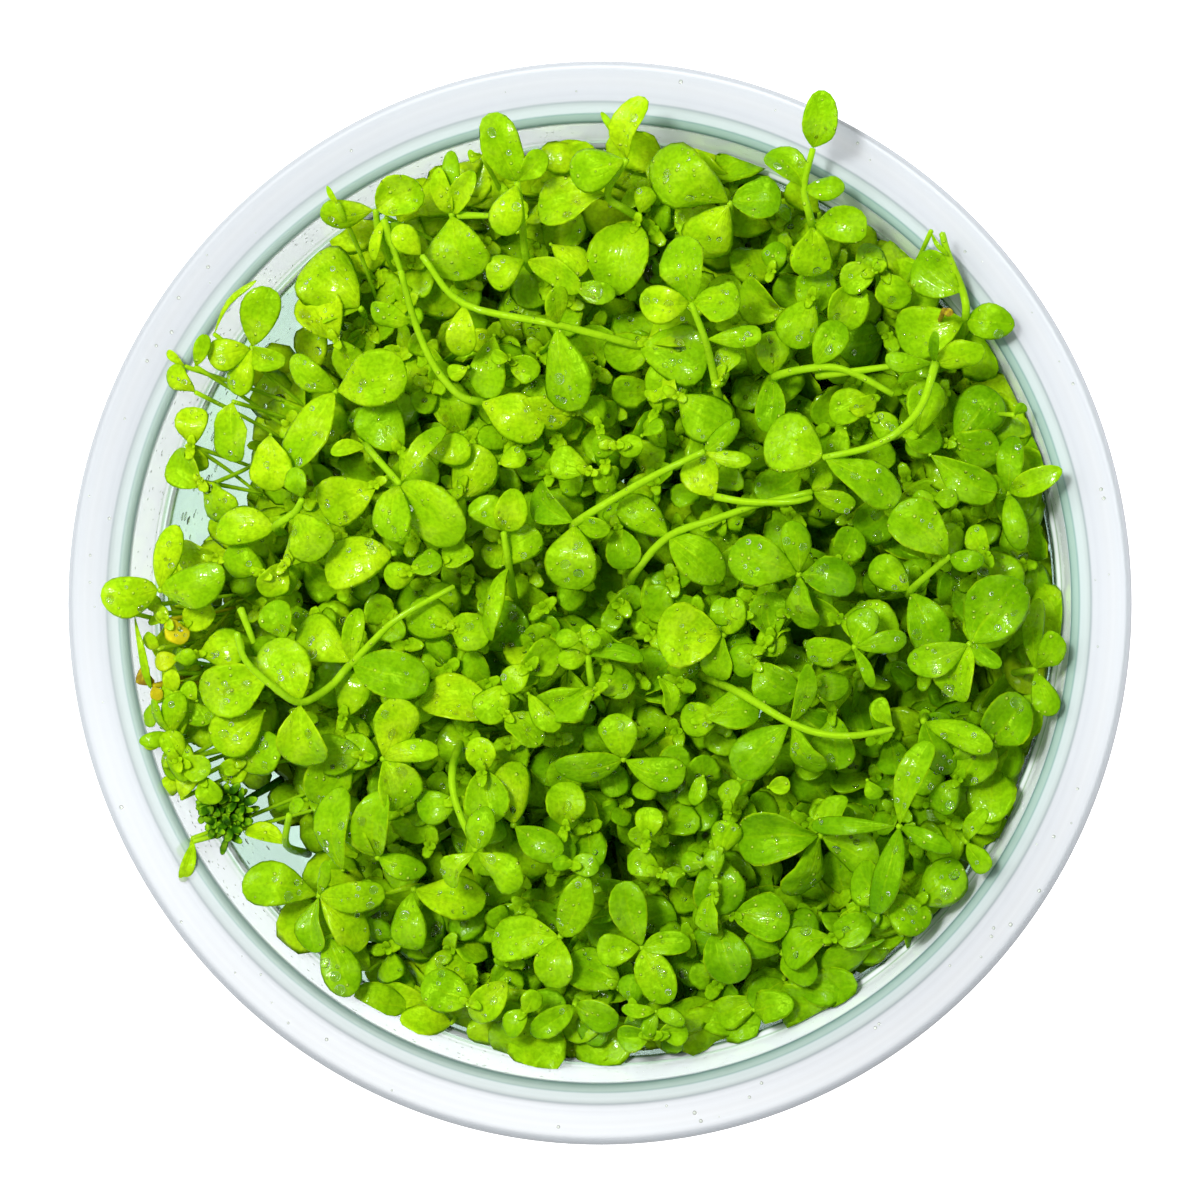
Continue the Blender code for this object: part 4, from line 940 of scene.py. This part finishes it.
def tub_paint():
    """Clear plastic: pale flange with painted shade, grooved ring painted with the plants' refracted green,
    milky upper wall, tinted clear lower wall.
    """
    paint = Paint("clear_plastic")
    x, y, z = paint.node("SeparateXYZ", {0: paint.place()}).outputs
    square = paint.math("ADD", paint.math("MULTIPLY", x, x), paint.math("MULTIPLY", y, y))
    radius = paint.math("SQRT", square)
    turning = paint.noise(1.0, 1.0, paint.node("CombineXYZ", {
        0: paint.math("MULTIPLY", radius, 2200.0), 1: paint.math("MULTIPLY", z, 600.0), 2: 0.0,
    }).outputs[0])
    # Rings of the top, over a radius of 40 to 51 mm. The green bands at the groove are painted: the plants'
    # green seen refracted in the plastic.
    ring = paint.ramp(paint.span(radius, 0.040, 0.051, kind="LINEAR"), (
        (0.000, (0.86, 0.91, 0.94)),
        (0.395, (0.80, 0.86, 0.90)),
        (0.405, (0.110, 0.220, 0.205)),
        (0.420, (0.230, 0.360, 0.290)),
        (0.462, (0.260, 0.390, 0.320)),
        (0.475, (0.160, 0.280, 0.245)),
        (0.487, (0.360, 0.430, 0.415)),
        (0.560, (0.390, 0.450, 0.440)),
        (0.573, (0.280, 0.330, 0.345)),
        (0.588, (0.490, 0.515, 0.540)),
        (0.640, (0.475, 0.500, 0.530)),
        (0.760, (0.505, 0.525, 0.545)),
        (0.860, (0.470, 0.500, 0.530)),
        (0.900, (0.480, 0.500, 0.530)),
    ))
    # The wall, over a height of 30 to 36 mm: two fine lines at the shoulder
    lines = paint.ramp(paint.span(z, 0.030, 0.036, kind="LINEAR"), (
        (0.78, (0.0, 0.0, 0.0)), (0.82, (1.0, 1.0, 1.0)), (0.86, (0.0, 0.0, 0.0)),
        (0.90, (0.0, 0.0, 0.0)), (0.93, (0.8, 0.8, 0.8)), (0.96, (0.0, 0.0, 0.0)),
    ))
    wall = paint.mix(paint.span(z, *SHOULDER), LOWER_WALL, UPPER_WALL)
    wall = paint.mix(lines, wall, WALL_LINE)
    # The groove's painted green is a little paler at the left, and painted shade darkens the flange towards
    # the lower right.
    left = paint.span(x, -0.035, 0.020, 0.20, 0.0)
    ring = paint.mix(left, ring, GROOVE_PALE)
    across = paint.math("MULTIPLY_ADD", x, -0.15, y)
    painted_shade = paint.span(across, -0.048, -0.005, 0.34, 0.02)
    painted_shade = paint.math("ADD", painted_shade, paint.span(x, -0.045, 0.0, 0.07, 0.0))
    ring = paint.mix(painted_shade, ring, (0.0, 0.0, 0.0, 1.0))
    color = paint.mix(paint.span(z, *WALL_END), wall, ring)
    color = paint.mix(paint.span(turning, 0.35, 0.7, 0.0, 0.06), color, TURNING_MARK)
    # How much light goes straight through: least at the groove, the rim and the right of the upper wall
    top = paint.ramp(paint.span(radius, 0.042, 0.051, kind="LINEAR"), (
        (0.25, (0.40, 0.40, 0.40)), (0.28, (0.25, 0.25, 0.25)), (0.47, (0.35, 0.35, 0.35)),
        (0.50, (0.72, 0.72, 0.72)), (0.84, (0.72, 0.72, 0.72)), (0.87, (0.30, 0.30, 0.30)),
    ))
    steep = paint.span(x, -0.010, 0.030, 0.70, 0.12)
    upper = paint.mix(paint.span(z, *WALL_END), steep, top)
    clear = paint.mix(paint.span(z, 0.0343, 0.0350), (0.96, 0.96, 0.96, 1.0), upper)
    roughness = paint.span(z, *WALL_END, 0.08, 0.40)
    gloss = paint.span(z, *WALL_END, 0.5, 0.12)
    skin = paint.node("BsdfPrincipled", {
        "Base Color": color, "Roughness": roughness, "IOR": 1.49, "Transmission Weight": clear,
        "Specular IOR Level": gloss,
        "Normal": paint.bump(turning, 0.08, 0.0001),
    })
    return paint.finish(skin.outputs[0])


def gel_paint():
    """Clear gel with soft clouds in it."""
    paint = Paint("clear_gel")
    cloud = paint.noise(160.0, 3.0)
    color = paint.mix(paint.span(cloud, 0.35, 0.7), GEL_PALE, GEL_DULL)
    skin = paint.node("BsdfPrincipled", {
        "Base Color": color, "Roughness": 0.12, "IOR": 1.34, "Transmission Weight": 0.9,
        "Normal": paint.bump(cloud, 0.2, 0.0004),
    })
    return paint.finish(skin.outputs[0])


def floor_paint():
    """A light table: the floor glows evenly and takes no shadow."""
    paint = Paint("floor")
    skin = paint.node("BsdfPrincipled", {
        "Base Color": (0.0, 0.0, 0.0, 1.0), "Roughness": 0.9, "Specular IOR Level": 0.0,
        "Emission Color": (1.0, 1.0, 1.0, 1.0), "Emission Strength": FLOOR_GLOW,
    })
    floor = paint.finish(skin.outputs[0])
    floor.cycles.emission_sampling = "NONE"
    return floor


# Tub and gel
def rounded(profile, reach, steps=4):
    """The profile with each inner corner replaced by a short curve."""
    profile = [np.array(point) for point in profile]
    line = [profile[0]]
    for before, corner, after in zip(profile, profile[1:], profile[2:]):
        back = min(reach, 0.45 * np.linalg.norm(corner - before))
        ahead = min(reach, 0.45 * np.linalg.norm(after - corner))
        start = corner + unit(before - corner) * back
        end = corner + unit(after - corner) * ahead
        for i in range(steps + 1):
            t = i / steps
            line.append((1 - t) ** 2 * start + 2 * t * (1 - t) * corner + t ** 2 * end)
    line.append(profile[-1])
    return line


def turned(profile, steps):
    """Points and faces of a profile, closed on the Z axis, turned round it."""
    rings = np.array(profile[1:-1])
    angle = 2.0 * math.pi * np.arange(steps) / steps
    circle = np.stack([np.cos(angle), np.sin(angle)], axis=1)
    points = [np.array([[0.0, 0.0, profile[0][1]]])]
    for radius, height in rings:
        points.append(np.column_stack([circle * radius, np.full(steps, height)]))
    points.append(np.array([[0.0, 0.0, profile[-1][1]]]))
    return np.concatenate(points), tube_faces(len(rings), steps)


def add_turned(name, profile, steps, surface, slot, node):
    """A clear turned piece. It casts no shadow, so that light reaches the plant through it."""
    bodies = Bodies()
    points, faces = turned(profile, steps)
    bodies.add(points, faces, np.zeros((len(points), 4)))
    piece = bodies.build(name, surface, slot)
    piece.visible_shadow = False
    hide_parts(node)


def build_tub():
    """Clear tub: flat floor, leaning wall, shoulder, steep upper wall, groove and wide flange."""
    outside = [
        (36.8, 0.0), (39.0, 0.9), (39.8, 3.2), (43.3, 34.2), (43.95, 35.2), (45.25, 40.1), (46.0, 40.3),
    ]
    rim = [(49.6, 41.1), (50.0, 41.3), (50.0, 41.7)]
    flange = [(49.55, 41.95), (FLANGE_INSIDE, FLANGE_LOW), (46.1, 41.15), (45.3, 41.05), (44.5, 40.85)]
    inside = [(43.2, 35.6), (42.5, 35.0), (39.0, 3.0), (38.6, 1.6), (36.8, WALL)]
    profile = [(0.0, 0.0)] + rounded(outside + rim + flange + inside, CORNER_REACH) + [(0.0, WALL)]
    add_turned("clear_tub", profile, TUB_STEPS, tub_paint(), "clear_plastic", "tub")


def build_gel():
    """The gel: a flat bed whose edge creeps a little up the wall."""
    low = WALL + GEL_GAP
    corner = WALL + FOOT_CORNER
    top = wall_radius(GEL_TOP) - GEL_GAP
    edge = [(FOOT_RADIUS - FOOT_CORNER, low), (FOOT_RADIUS - GEL_GAP, corner), (top, GEL_TOP)]
    flat = GEL_TOP - 0.1
    profile = [(0.0, low), *edge, (top - 2.0, GEL_TOP - 0.02), (top - 6.0, flat), (0.0, flat)]
    add_turned("gel_bed", profile, GEL_STEPS, gel_paint(), "clear_gel", "gel")


# Plants
# Tone by height as painted shade, and by distance from the axis as painted light for leaves seen through
# the wall
TONE_HEIGHTS = (12.0, 26.0, 33.0, 38.0, 42.0, 45.0, 49.0)
PAINTED_SHADE_LEVELS = (0.24, 0.47, 0.60, 0.66, 0.70, 0.70, 0.67)
TONE_RADII = (30.0, 39.0)
PAINTED_LIGHT_AT_WALL = (0.0, 0.72)
THROUGH_WALL = 38.0


def tone_with_painted_light(point):
    """How bright a leaf is, before chance: painted shade by height, painted light at the wall and to the
    upper left.
    """
    level = float(np.interp(point[2], TONE_HEIGHTS, PAINTED_SHADE_LEVELS))
    if point[2] < THROUGH_WALL:
        at_wall = np.interp(math.hypot(point[0], point[1]), TONE_RADII, PAINTED_LIGHT_AT_WALL)
        level = max(level, float(at_wall))
    # Brighter towards the upper left, the softboxes' side: painted light
    return level - 0.0038 * point[0] + 0.0029 * point[1]


def build_crowd(surface):
    """Stem by stem, as one mesh for each quarter of the tub."""
    quarters = [Bodies() for _ in range(4)]
    for i in range(CROWD_STEMS):
        azimuth = (i * GOLDEN_ANGLE) % (2.0 * math.pi)
        bodies = quarters[int(azimuth // (0.5 * math.pi))]
        share = math.sqrt((i + 0.5) / CROWD_STEMS)
        foot_radius = 0.975 * share * min(edge_radius(azimuth), FOOT_RADIUS)
        top_radius = 0.985 * share * edge_radius(azimuth)
        foot = radial(azimuth) * foot_radius + UP * (GEL_TOP - 0.1)
        lean = azimuth + rng.normal(0.0, 0.06)
        top = radial(lean) * top_radius
        fullness = edge_radius(azimuth) / MAT_RADIUS
        top[2] = mat_height(top[0], top[1]) + rng.uniform(-1.5, 2.0)
        top[2] += EDGE_LIFT * share ** 6 * max(0.0, 1.0 - 12.0 * (1.0 - fullness))
        knots = [foot]
        for k in range(1, 5):
            knot = foot + (top - foot) * k / 5.0
            knot[:2] += rng.normal(0.0, 0.9, 2)
            knots.append(knot)
        knots.append(top)
        path = smooth_path(knots, 2)
        add_stem(bodies, path, STEM_RADIUS * rng.uniform(0.75, 1.0), CROWD_TONE, around=6)
        add_pairs(bodies, path)
    add_wall_leaves(quarters)
    for number, bodies in enumerate(quarters, start=1):
        piece = bodies.build(f"lower_crowd_{number}", surface, "lower_leaves", hug_wall=True)
        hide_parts("lower_shoots")


def add_wall_leaves(quarters):
    """Leaves pressed to the wall at the crowd's top edge, where it isn't bitten back."""
    for i in range(WALL_LEAVES):
        azimuth = 2.0 * math.pi * (i + rng.uniform(0.1, 0.9)) / WALL_LEAVES
        bodies = quarters[int(azimuth // (0.5 * math.pi))]
        if edge_radius(azimuth) < MAT_RADIUS - 1.6:
            continue
        z = rng.uniform(*WALL_LEAF_HEIGHTS)
        out = radial(azimuth)
        along = np.array((-out[1], out[0], 0.0)) * rng.choice((-1.0, 1.0))
        foot = out * (wall_radius(z) - rng.uniform(1.0, 4.0)) + UP * z
        direction = unit(along + out * rng.uniform(-0.2, 0.7) + UP * rng.uniform(-0.1, 0.7))
        size = rng.uniform(*WALL_LEAF_SIZES)
        # Their tone is raised by 0.08 over the rest: painted light on the leaves against the wall.
        leaf = Leaf(
            foot, foot + direction * size, size * rng.uniform(0.62, 0.88),
            tone_with_painted_light(foot) + rng.normal(0.08, 0.1),
            arch=rng.uniform(0.02, 0.16), cup=rng.uniform(-0.1, 0.2), roll=rng.normal(0.0, 0.35),
        )
        leaf.add_to(bodies, CROWD_LEAF)
        low = foot - out * 1.5 - UP * rng.uniform(5.0, 7.0)
        add_stem(bodies, smooth_path([low, foot], 3), 0.3, CROWD_TONE, around=6)


def add_pairs(bodies, path):
    """Leaf pairs up a crowd stem, each turned a quarter from the last and smallest at the tip.

    Low down in the middle of the tub no light comes in and the leaves have dropped.
    """
    lengths = np.concatenate([[0.0], np.cumsum(np.linalg.norm(np.diff(path, axis=0), axis=1))])
    at = rng.uniform(2.0, 4.0)
    turn = rng.uniform(0.0, math.pi)
    while at < lengths[-1] - 0.2:
        point = np.array([np.interp(at, lengths, path[:, k]) for k in range(3)])
        left = lengths[-1] - at
        growth = float(np.interp(left, (0.0, 2.0, 4.5, 18.0), (0.40, 0.80, 1.0, 0.85)))
        size = rng.uniform(*CROWD_LEAF_SIZES) * growth
        seen = point[2] > SEEN_ABOVE
        bare = point[2] < BARE_BELOW and math.hypot(point[0], point[1]) < BARE_WITHIN
        for half in (0.0, math.pi):
            heading = turn + half + rng.normal(0.0, 0.2)
            slope = float(np.interp(left, (0.0, 3.0, 8.0), (1.1, 0.45, 0.1)))
            slope += rng.normal(0.0, 0.2)
            direction = unit(np.array((math.cos(heading), math.sin(heading), slope)))
            tip = point + direction * size
            leaf = Leaf(
                point + direction * 0.2, tip, size * rng.uniform(0.66, 0.92),
                tone_with_painted_light(tip) + rng.normal(0.0, 0.10),
                arch=rng.uniform(0.02, 0.20), cup=rng.uniform(-0.30, 0.32), roll=rng.normal(0.0, 0.42),
                bend=rng.normal(0.0, 0.05),
            )
            # A dropped leaf has had its chances drawn, so the other leaves don't depend on it.
            if bare:
                continue
            leaf.add_to(bodies, CROWD_LEAF if seen else HIDDEN_LEAF)
            if seen:
                WET_LEAVES.append(leaf)
        turn += 0.5 * math.pi + rng.normal(0.0, 0.15)
        at += NODE_SPACING * rng.uniform(0.75, 1.25) * float(np.interp(left, (0.0, 5.0), (0.5, 1.0)))
    add_bud(bodies, path[-1], turn, tone_with_painted_light(path[-1]) + 0.12)


def add_bud(bodies, point, turn, tone, size=2.0):
    """The growing tip: two small upright pairs, one inside the other."""
    for level, share in enumerate((1.0, 0.6)):
        for half in (0.0, math.pi):
            heading = turn + half + 0.5 * math.pi * level
            direction = unit(np.array((math.cos(heading), math.sin(heading), 0.9 + 0.9 * level)))
            length = size * share * rng.uniform(0.85, 1.2)
            leaf = Leaf(point, point + direction * length, 0.62 * length, tone, arch=0.12, cup=0.3)
            leaf.add_to(bodies, BUD_LEAF)


WET_LEAVES = []     # where dew may lie, filled as the plants are built


def root_point(x, y):
    """Where the line of sight through x, y meets the crowd's solid."""
    point = along_sight(x, y, MAT_TOP)
    for _ in range(3):
        point = along_sight(x, y, mat_height(point[0], point[1]))
    return point


def build_shoot(name, knots, leaves, surface):
    """A read shoot: its stem as a soft curve and its leaves from the stem to their tips."""
    bodies = Bodies()
    points = [root_point(x, y) - UP * 3.0 if z is ROOT else along_sight(x, y, z) for x, y, z in knots]
    add_stem(bodies, smooth_path(points), STEM_RADIUS, tone_with_painted_light(points[-1]))
    for carrier, x, y, z, width in leaves:
        tip = along_sight(x, y, z)
        outward = unit(tip - points[carrier])
        leaf = Leaf(
            points[carrier] + outward * 0.15, tip, width, tone_with_painted_light(tip) + rng.normal(0.0, 0.09),
            arch=rng.uniform(0.04, 0.19), cup=rng.uniform(-0.26, 0.30), roll=rng.normal(0.0, 0.28),
            bend=rng.normal(0.0, 0.04),
        )
        leaf.add_to(bodies)
        WET_LEAVES.append(leaf)
    piece = bodies.build(name + "_grown", surface, "upper_leaves")
    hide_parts(name)


def hidden_stem(foot):
    """A stem from a leaf's foot down out of sight behind it, or off the crowd's edge, in towards it."""
    azimuth = math.atan2(foot[1], foot[0])
    edge = edge_radius(azimuth)
    if math.hypot(foot[0], foot[1]) > edge - 1.0:
        azimuth += rng.normal(0.0, 0.06)
        end = radial(azimuth) * (edge - 3.5) + UP * EDGE_DEPTH
        return smooth_path([foot, foot + (end - foot) * 0.45 - UP * 1.2, end], 3)
    path = []
    for share in (1.0, 0.66, 0.33, 0.0):
        z = HIDDEN_DEPTH + (foot[2] - HIDDEN_DEPTH) * (1.0 - share)
        sight = EYE + (foot - EYE) * (EYE[2] - z) / (EYE[2] - foot[2])
        limit = wall_radius(z) - 0.9
        sight[:2] *= min(1.0, limit / max(math.hypot(sight[0], sight[1]), 1e-6))
        path.append(sight)
    return smooth_path(path, 3)


def build_side_shoots(surface):
    """The other leaves of the upper layer, each on a thin stem that comes up out of the crowd."""
    bodies = Bodies()
    leaves = []
    for foot_x, foot_y, tip_x, tip_y, z, width in LONG_LEAVES:
        leaves.append((along_sight(foot_x, foot_y, z - 0.6), along_sight(tip_x, tip_y, z), width, 0.0))
    middles = np.array([(*row, 0.0) for row in ROUND_LEAVES] + list(FADING_LEAVES))
    apart = np.hypot(*(middles[:, None, :2] - middles[None, :, :2]).transpose(2, 0, 1))
    apart += np.eye(len(middles)) * 1000.0
    nearest = np.argmin(apart, axis=1)
    for i, (x, y, z, width, age) in enumerate(middles):
        # Its foot is on the side of the nearest leaf, as in an opposite pair. A leaf that is not its
        # neighbour's own nearest gets a partner on the far side of its foot.
        heading = math.atan2(y - middles[nearest[i], 1], x - middles[nearest[i], 0])
        step = np.array((math.cos(heading), math.sin(heading), 0.18)) * 0.58 * width
        middle = along_sight(x, y, z)
        leaves.append((middle - step, middle + step, width, age))
        if width > 2.6 and nearest[nearest[i]] != i:
            foot = middle - step
            other = foot - unit(step) * width * rng.uniform(0.7, 1.0) - UP * rng.uniform(0.6, 1.8)
            leaves.append((foot - UP * 0.3, other, width * rng.uniform(0.55, 0.8), age))
        if width > 2.2:
            add_bud(bodies, middle - step, heading, tone_with_painted_light(middle) + 0.1, 1.5)
    for foot, tip, width, age in leaves:
        leaf = Leaf(
            foot, tip, width, tone_with_painted_light(tip) + rng.normal(0.0, 0.09),
            arch=rng.uniform(0.04, 0.19), cup=rng.uniform(-0.28, 0.30), roll=rng.normal(0.0, 0.32), age=age,
        )
        leaf.add_to(bodies)
        if width > 2.0:
            WET_LEAVES.append(leaf)
        add_stem(bodies, hidden_stem(foot), THIN_STEM, tone_with_painted_light(foot), around=6, age=age)
    for knots in LOOSE_STEMS:
        path = smooth_path([along_sight(*knot) for knot in knots])
        add_stem(bodies, path, STEM_RADIUS * 0.9, 0.8)
    bodies.build("side_shoots", surface, "upper_leaves")


MOSS_CENTRE = (-33.5, -19.3, 38.6)
MOSS_ROOT = (-28.4, -16.4)
MOSS_ARMS = 12
MOSS_ARM_LEAVES = 9
MOSS_TONE = 0.2


def build_moss():
    """A ragged rosette: short arms set with narrow leaves all round."""
    bodies = Bodies()
    centre = along_sight(*MOSS_CENTRE)
    foot = root_point(*MOSS_ROOT)
    add_stem(bodies, smooth_path([foot, 0.5 * (foot + centre), centre], 3), 0.4, MOSS_TONE)
    for i in range(MOSS_ARMS):
        heading = i * GOLDEN_ANGLE
        slope = 0.1 + 0.9 * i / MOSS_ARMS
        direction = unit(np.array((math.cos(heading), math.sin(heading), slope)))
        end = centre + direction * rng.uniform(1.5, 2.6)
        add_stem(bodies, smooth_path([centre, end], 3), 0.18, MOSS_TONE, around=6)
        for k in range(MOSS_ARM_LEAVES):
            start = centre + (end - centre) * (0.25 + 0.75 * k / (MOSS_ARM_LEAVES - 1.0))
            around = k * GOLDEN_ANGLE
            out = unit(direction * 0.7 + np.array((math.cos(around), math.sin(around), 0.35)))
            leaf = Leaf(start, start + out * rng.uniform(1.3, 2.1), rng.uniform(0.60, 0.90), MOSS_TONE)
            leaf.add_to(bodies, HIDDEN_LEAF)
    piece = bodies.build("moss_rosette", moss_paint(), "moss")
    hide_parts("moss_tuft")


# Water
DROPS_PER_AREA = 0.12                   # of a leaf's length times width, in drops per square millimetre
MOST_DROPS = 8
WALL_DROPS = 700
FLANGE_DROPS = 60
STEEP_WALL = (36.2, 40.4)               # heights between which fine drops sit on the upper wall
BARE_WALL = (27.0, 34.4)                # and larger ones on the lower wall
FLANGE_TOP = ((46.5, 49.55), (41.45, 41.95))    # radii, and the heights that drops lie at there
DROPS_WITHIN = 49.2
# Groups of drops on the lower wall: azimuth in degrees, spread, count, largest radius
WALL_GROUPS = (
    (172.0, 20.0, 150, 0.75), (140.0, 16.0, 50, 0.45), (215.0, 18.0, 40, 0.5), (265.0, 26.0, 80, 0.45),
)


def build_dew(surface):
    """Dew on the upper leaves, many small drops and a few large ones."""
    bodies = Bodies()
    for leaf in WET_LEAVES:
        count = rng.poisson(DROPS_PER_AREA * leaf.width * leaf.length)
        for _ in range(min(count, MOST_DROPS)):
            share = rng.uniform(0.22, 0.88)
            across = rng.uniform(-0.72, 0.72)
            radius = min(0.16 + rng.exponential(0.13), 0.13 * leaf.width, 0.65)
            at, normal = leaf.upward(share, across)
            add_drop(bodies, at - normal * 0.03, normal, radius, rng.uniform(0.32, 0.60))
    for x, y, diameter in BIG_DROPS:
        leaf = min(WET_LEAVES, key=lambda wet: np.linalg.norm(seen_at(wet.middle()) - (x, y)))
        add_drop(bodies, leaf.middle(), leaf.normal, 0.5 * diameter, 0.55)
    piece = bodies.build("dew_drops", surface, "clear_gel")
    piece.visible_shadow = False


def build_condensation(surface):
    """Fine drops on the steep upper wall and flange, and larger ones where the lower wall is bare."""
    bodies = Bodies()
    for _ in range(WALL_DROPS):
        out = radial(rng.uniform(0.0, 2.0 * math.pi))
        z = rng.uniform(*STEEP_WALL)
        add_drop(bodies, out * wall_radius(z) + UP * z, -out, rng.uniform(0.06, 0.16), 0.35)
    for centre, spread, count, largest in WALL_GROUPS:
        for _ in range(count):
            out = radial(math.radians(rng.normal(centre, spread)))
            z = rng.uniform(*BARE_WALL)
            size = 0.1 + (largest - 0.1) * rng.uniform() ** 3
            add_drop(bodies, out * wall_radius(z) + UP * z, -out, size, 0.28)
    for _ in range(FLANGE_DROPS):
        out = radial(rng.uniform(0.0, 2.0 * math.pi))
        radius = rng.uniform(FLANGE_INSIDE, DROPS_WITHIN)
        z = np.interp(radius, *FLANGE_TOP)
        add_drop(bodies, out * radius + UP * z, UP, rng.uniform(0.06, 0.22), 0.5)
    piece = bodies.build("condensation", surface, "clear_gel")
    piece.visible_shadow = False


# Stage
def build_camera():
    """Where the photograph was taken from: above the rim, leaning to the right."""
    lean = np.array((math.sin(CAMERA_TILT), 0.0, math.cos(CAMERA_TILT)))
    up = np.array((0.0, 1.0, 0.0))
    right = np.cross(up, lean)
    eye = UP * RIM_Z + CAMERA_DISTANCE * lean + right * OFF_CENTRE[0] + up * OFF_CENTRE[1]
    data = bpy.data.cameras.new("camera")
    data.sensor_width = SENSOR
    data.lens = SENSOR * CAMERA_DISTANCE / VIEW_WIDTH
    data.clip_start, data.clip_end = CLIP_M
    camera = bpy.data.objects.new("camera", data)
    rows = np.stack([right, up, lean, eye * MM], axis=1).tolist()
    camera.matrix_world = Matrix([*rows, (0.0, 0.0, 0.0, 1.0)])
    bpy.context.scene.collection.objects.link(camera)
    bpy.context.scene.camera = camera


# Name, place and size in metres, watts
SOFTBOXES = (
    ("large_softbox", (-0.28, 0.28, 0.85), 0.60, 4.8),
    ("small_softbox", (-0.10, 0.18, 0.88), 0.12, 7.2),
)
FLOOR_REACH_M = 3.0
WORLD_LIGHT = 0.50


def add_softbox(name, place_m, size_m, watts):
    """A square lamp that faces the tub."""
    data = bpy.data.lights.new(name, "AREA")
    data.shape = "SQUARE"
    data.size = size_m
    data.energy = watts
    light = bpy.data.objects.new(name, data)
    light.location = place_m
    aim = Vector((0.0, 0.0, 0.04)) - Vector(place_m)
    light.rotation_euler = aim.to_track_quat("-Z", "Y").to_euler()
    bpy.context.scene.collection.objects.link(light)


def build_stage():
    """Glowing floor, even white world and two softboxes.

    Light bent by clear pieces isn't traced onto others, which keeps hot spots off the leaves.
    """
    mesh = bpy.data.meshes.new("floor")
    corners = [(FLOOR_REACH_M * x, FLOOR_REACH_M * y, 0.0) for x, y in ((-1, -1), (1, -1), (1, 1), (-1, 1))]
    mesh.from_pydata(corners, [], [(0, 1, 2, 3)])
    mesh.materials.append(floor_paint())
    floor = bpy.data.objects.new("floor", mesh)
    floor.location.z = -0.0002
    bpy.context.scene.collection.objects.link(floor)
    world = bpy.data.worlds.new("studio")
    bpy.context.scene.world = world
    world.use_nodes = True
    world.node_tree.nodes["Background"].inputs["Color"].default_value = (1.0, 1.0, 1.0, 1.0)
    world.node_tree.nodes["Background"].inputs["Strength"].default_value = WORLD_LIGHT
    for softbox in SOFTBOXES:
        add_softbox(*softbox)
    bpy.context.scene.view_settings.view_transform = "Standard"
    bpy.context.scene.cycles.caustics_refractive = False
    bpy.context.scene.cycles.use_light_tree = False


def main():
    build_camera()
    build_stage()
    build_tub()
    build_gel()
    lower = leaf_paint("lower_leaf", dewy=False)
    upper = leaf_paint("upper_leaf", dewy=True)
    build_crowd(lower)
    for name, (knots, leaves) in SHOOTS.items():
        build_shoot(name, knots, leaves, upper)
    build_side_shoots(upper)
    build_moss()
    water = water_paint()
    build_dew(water)
    build_condensation(water)


main()
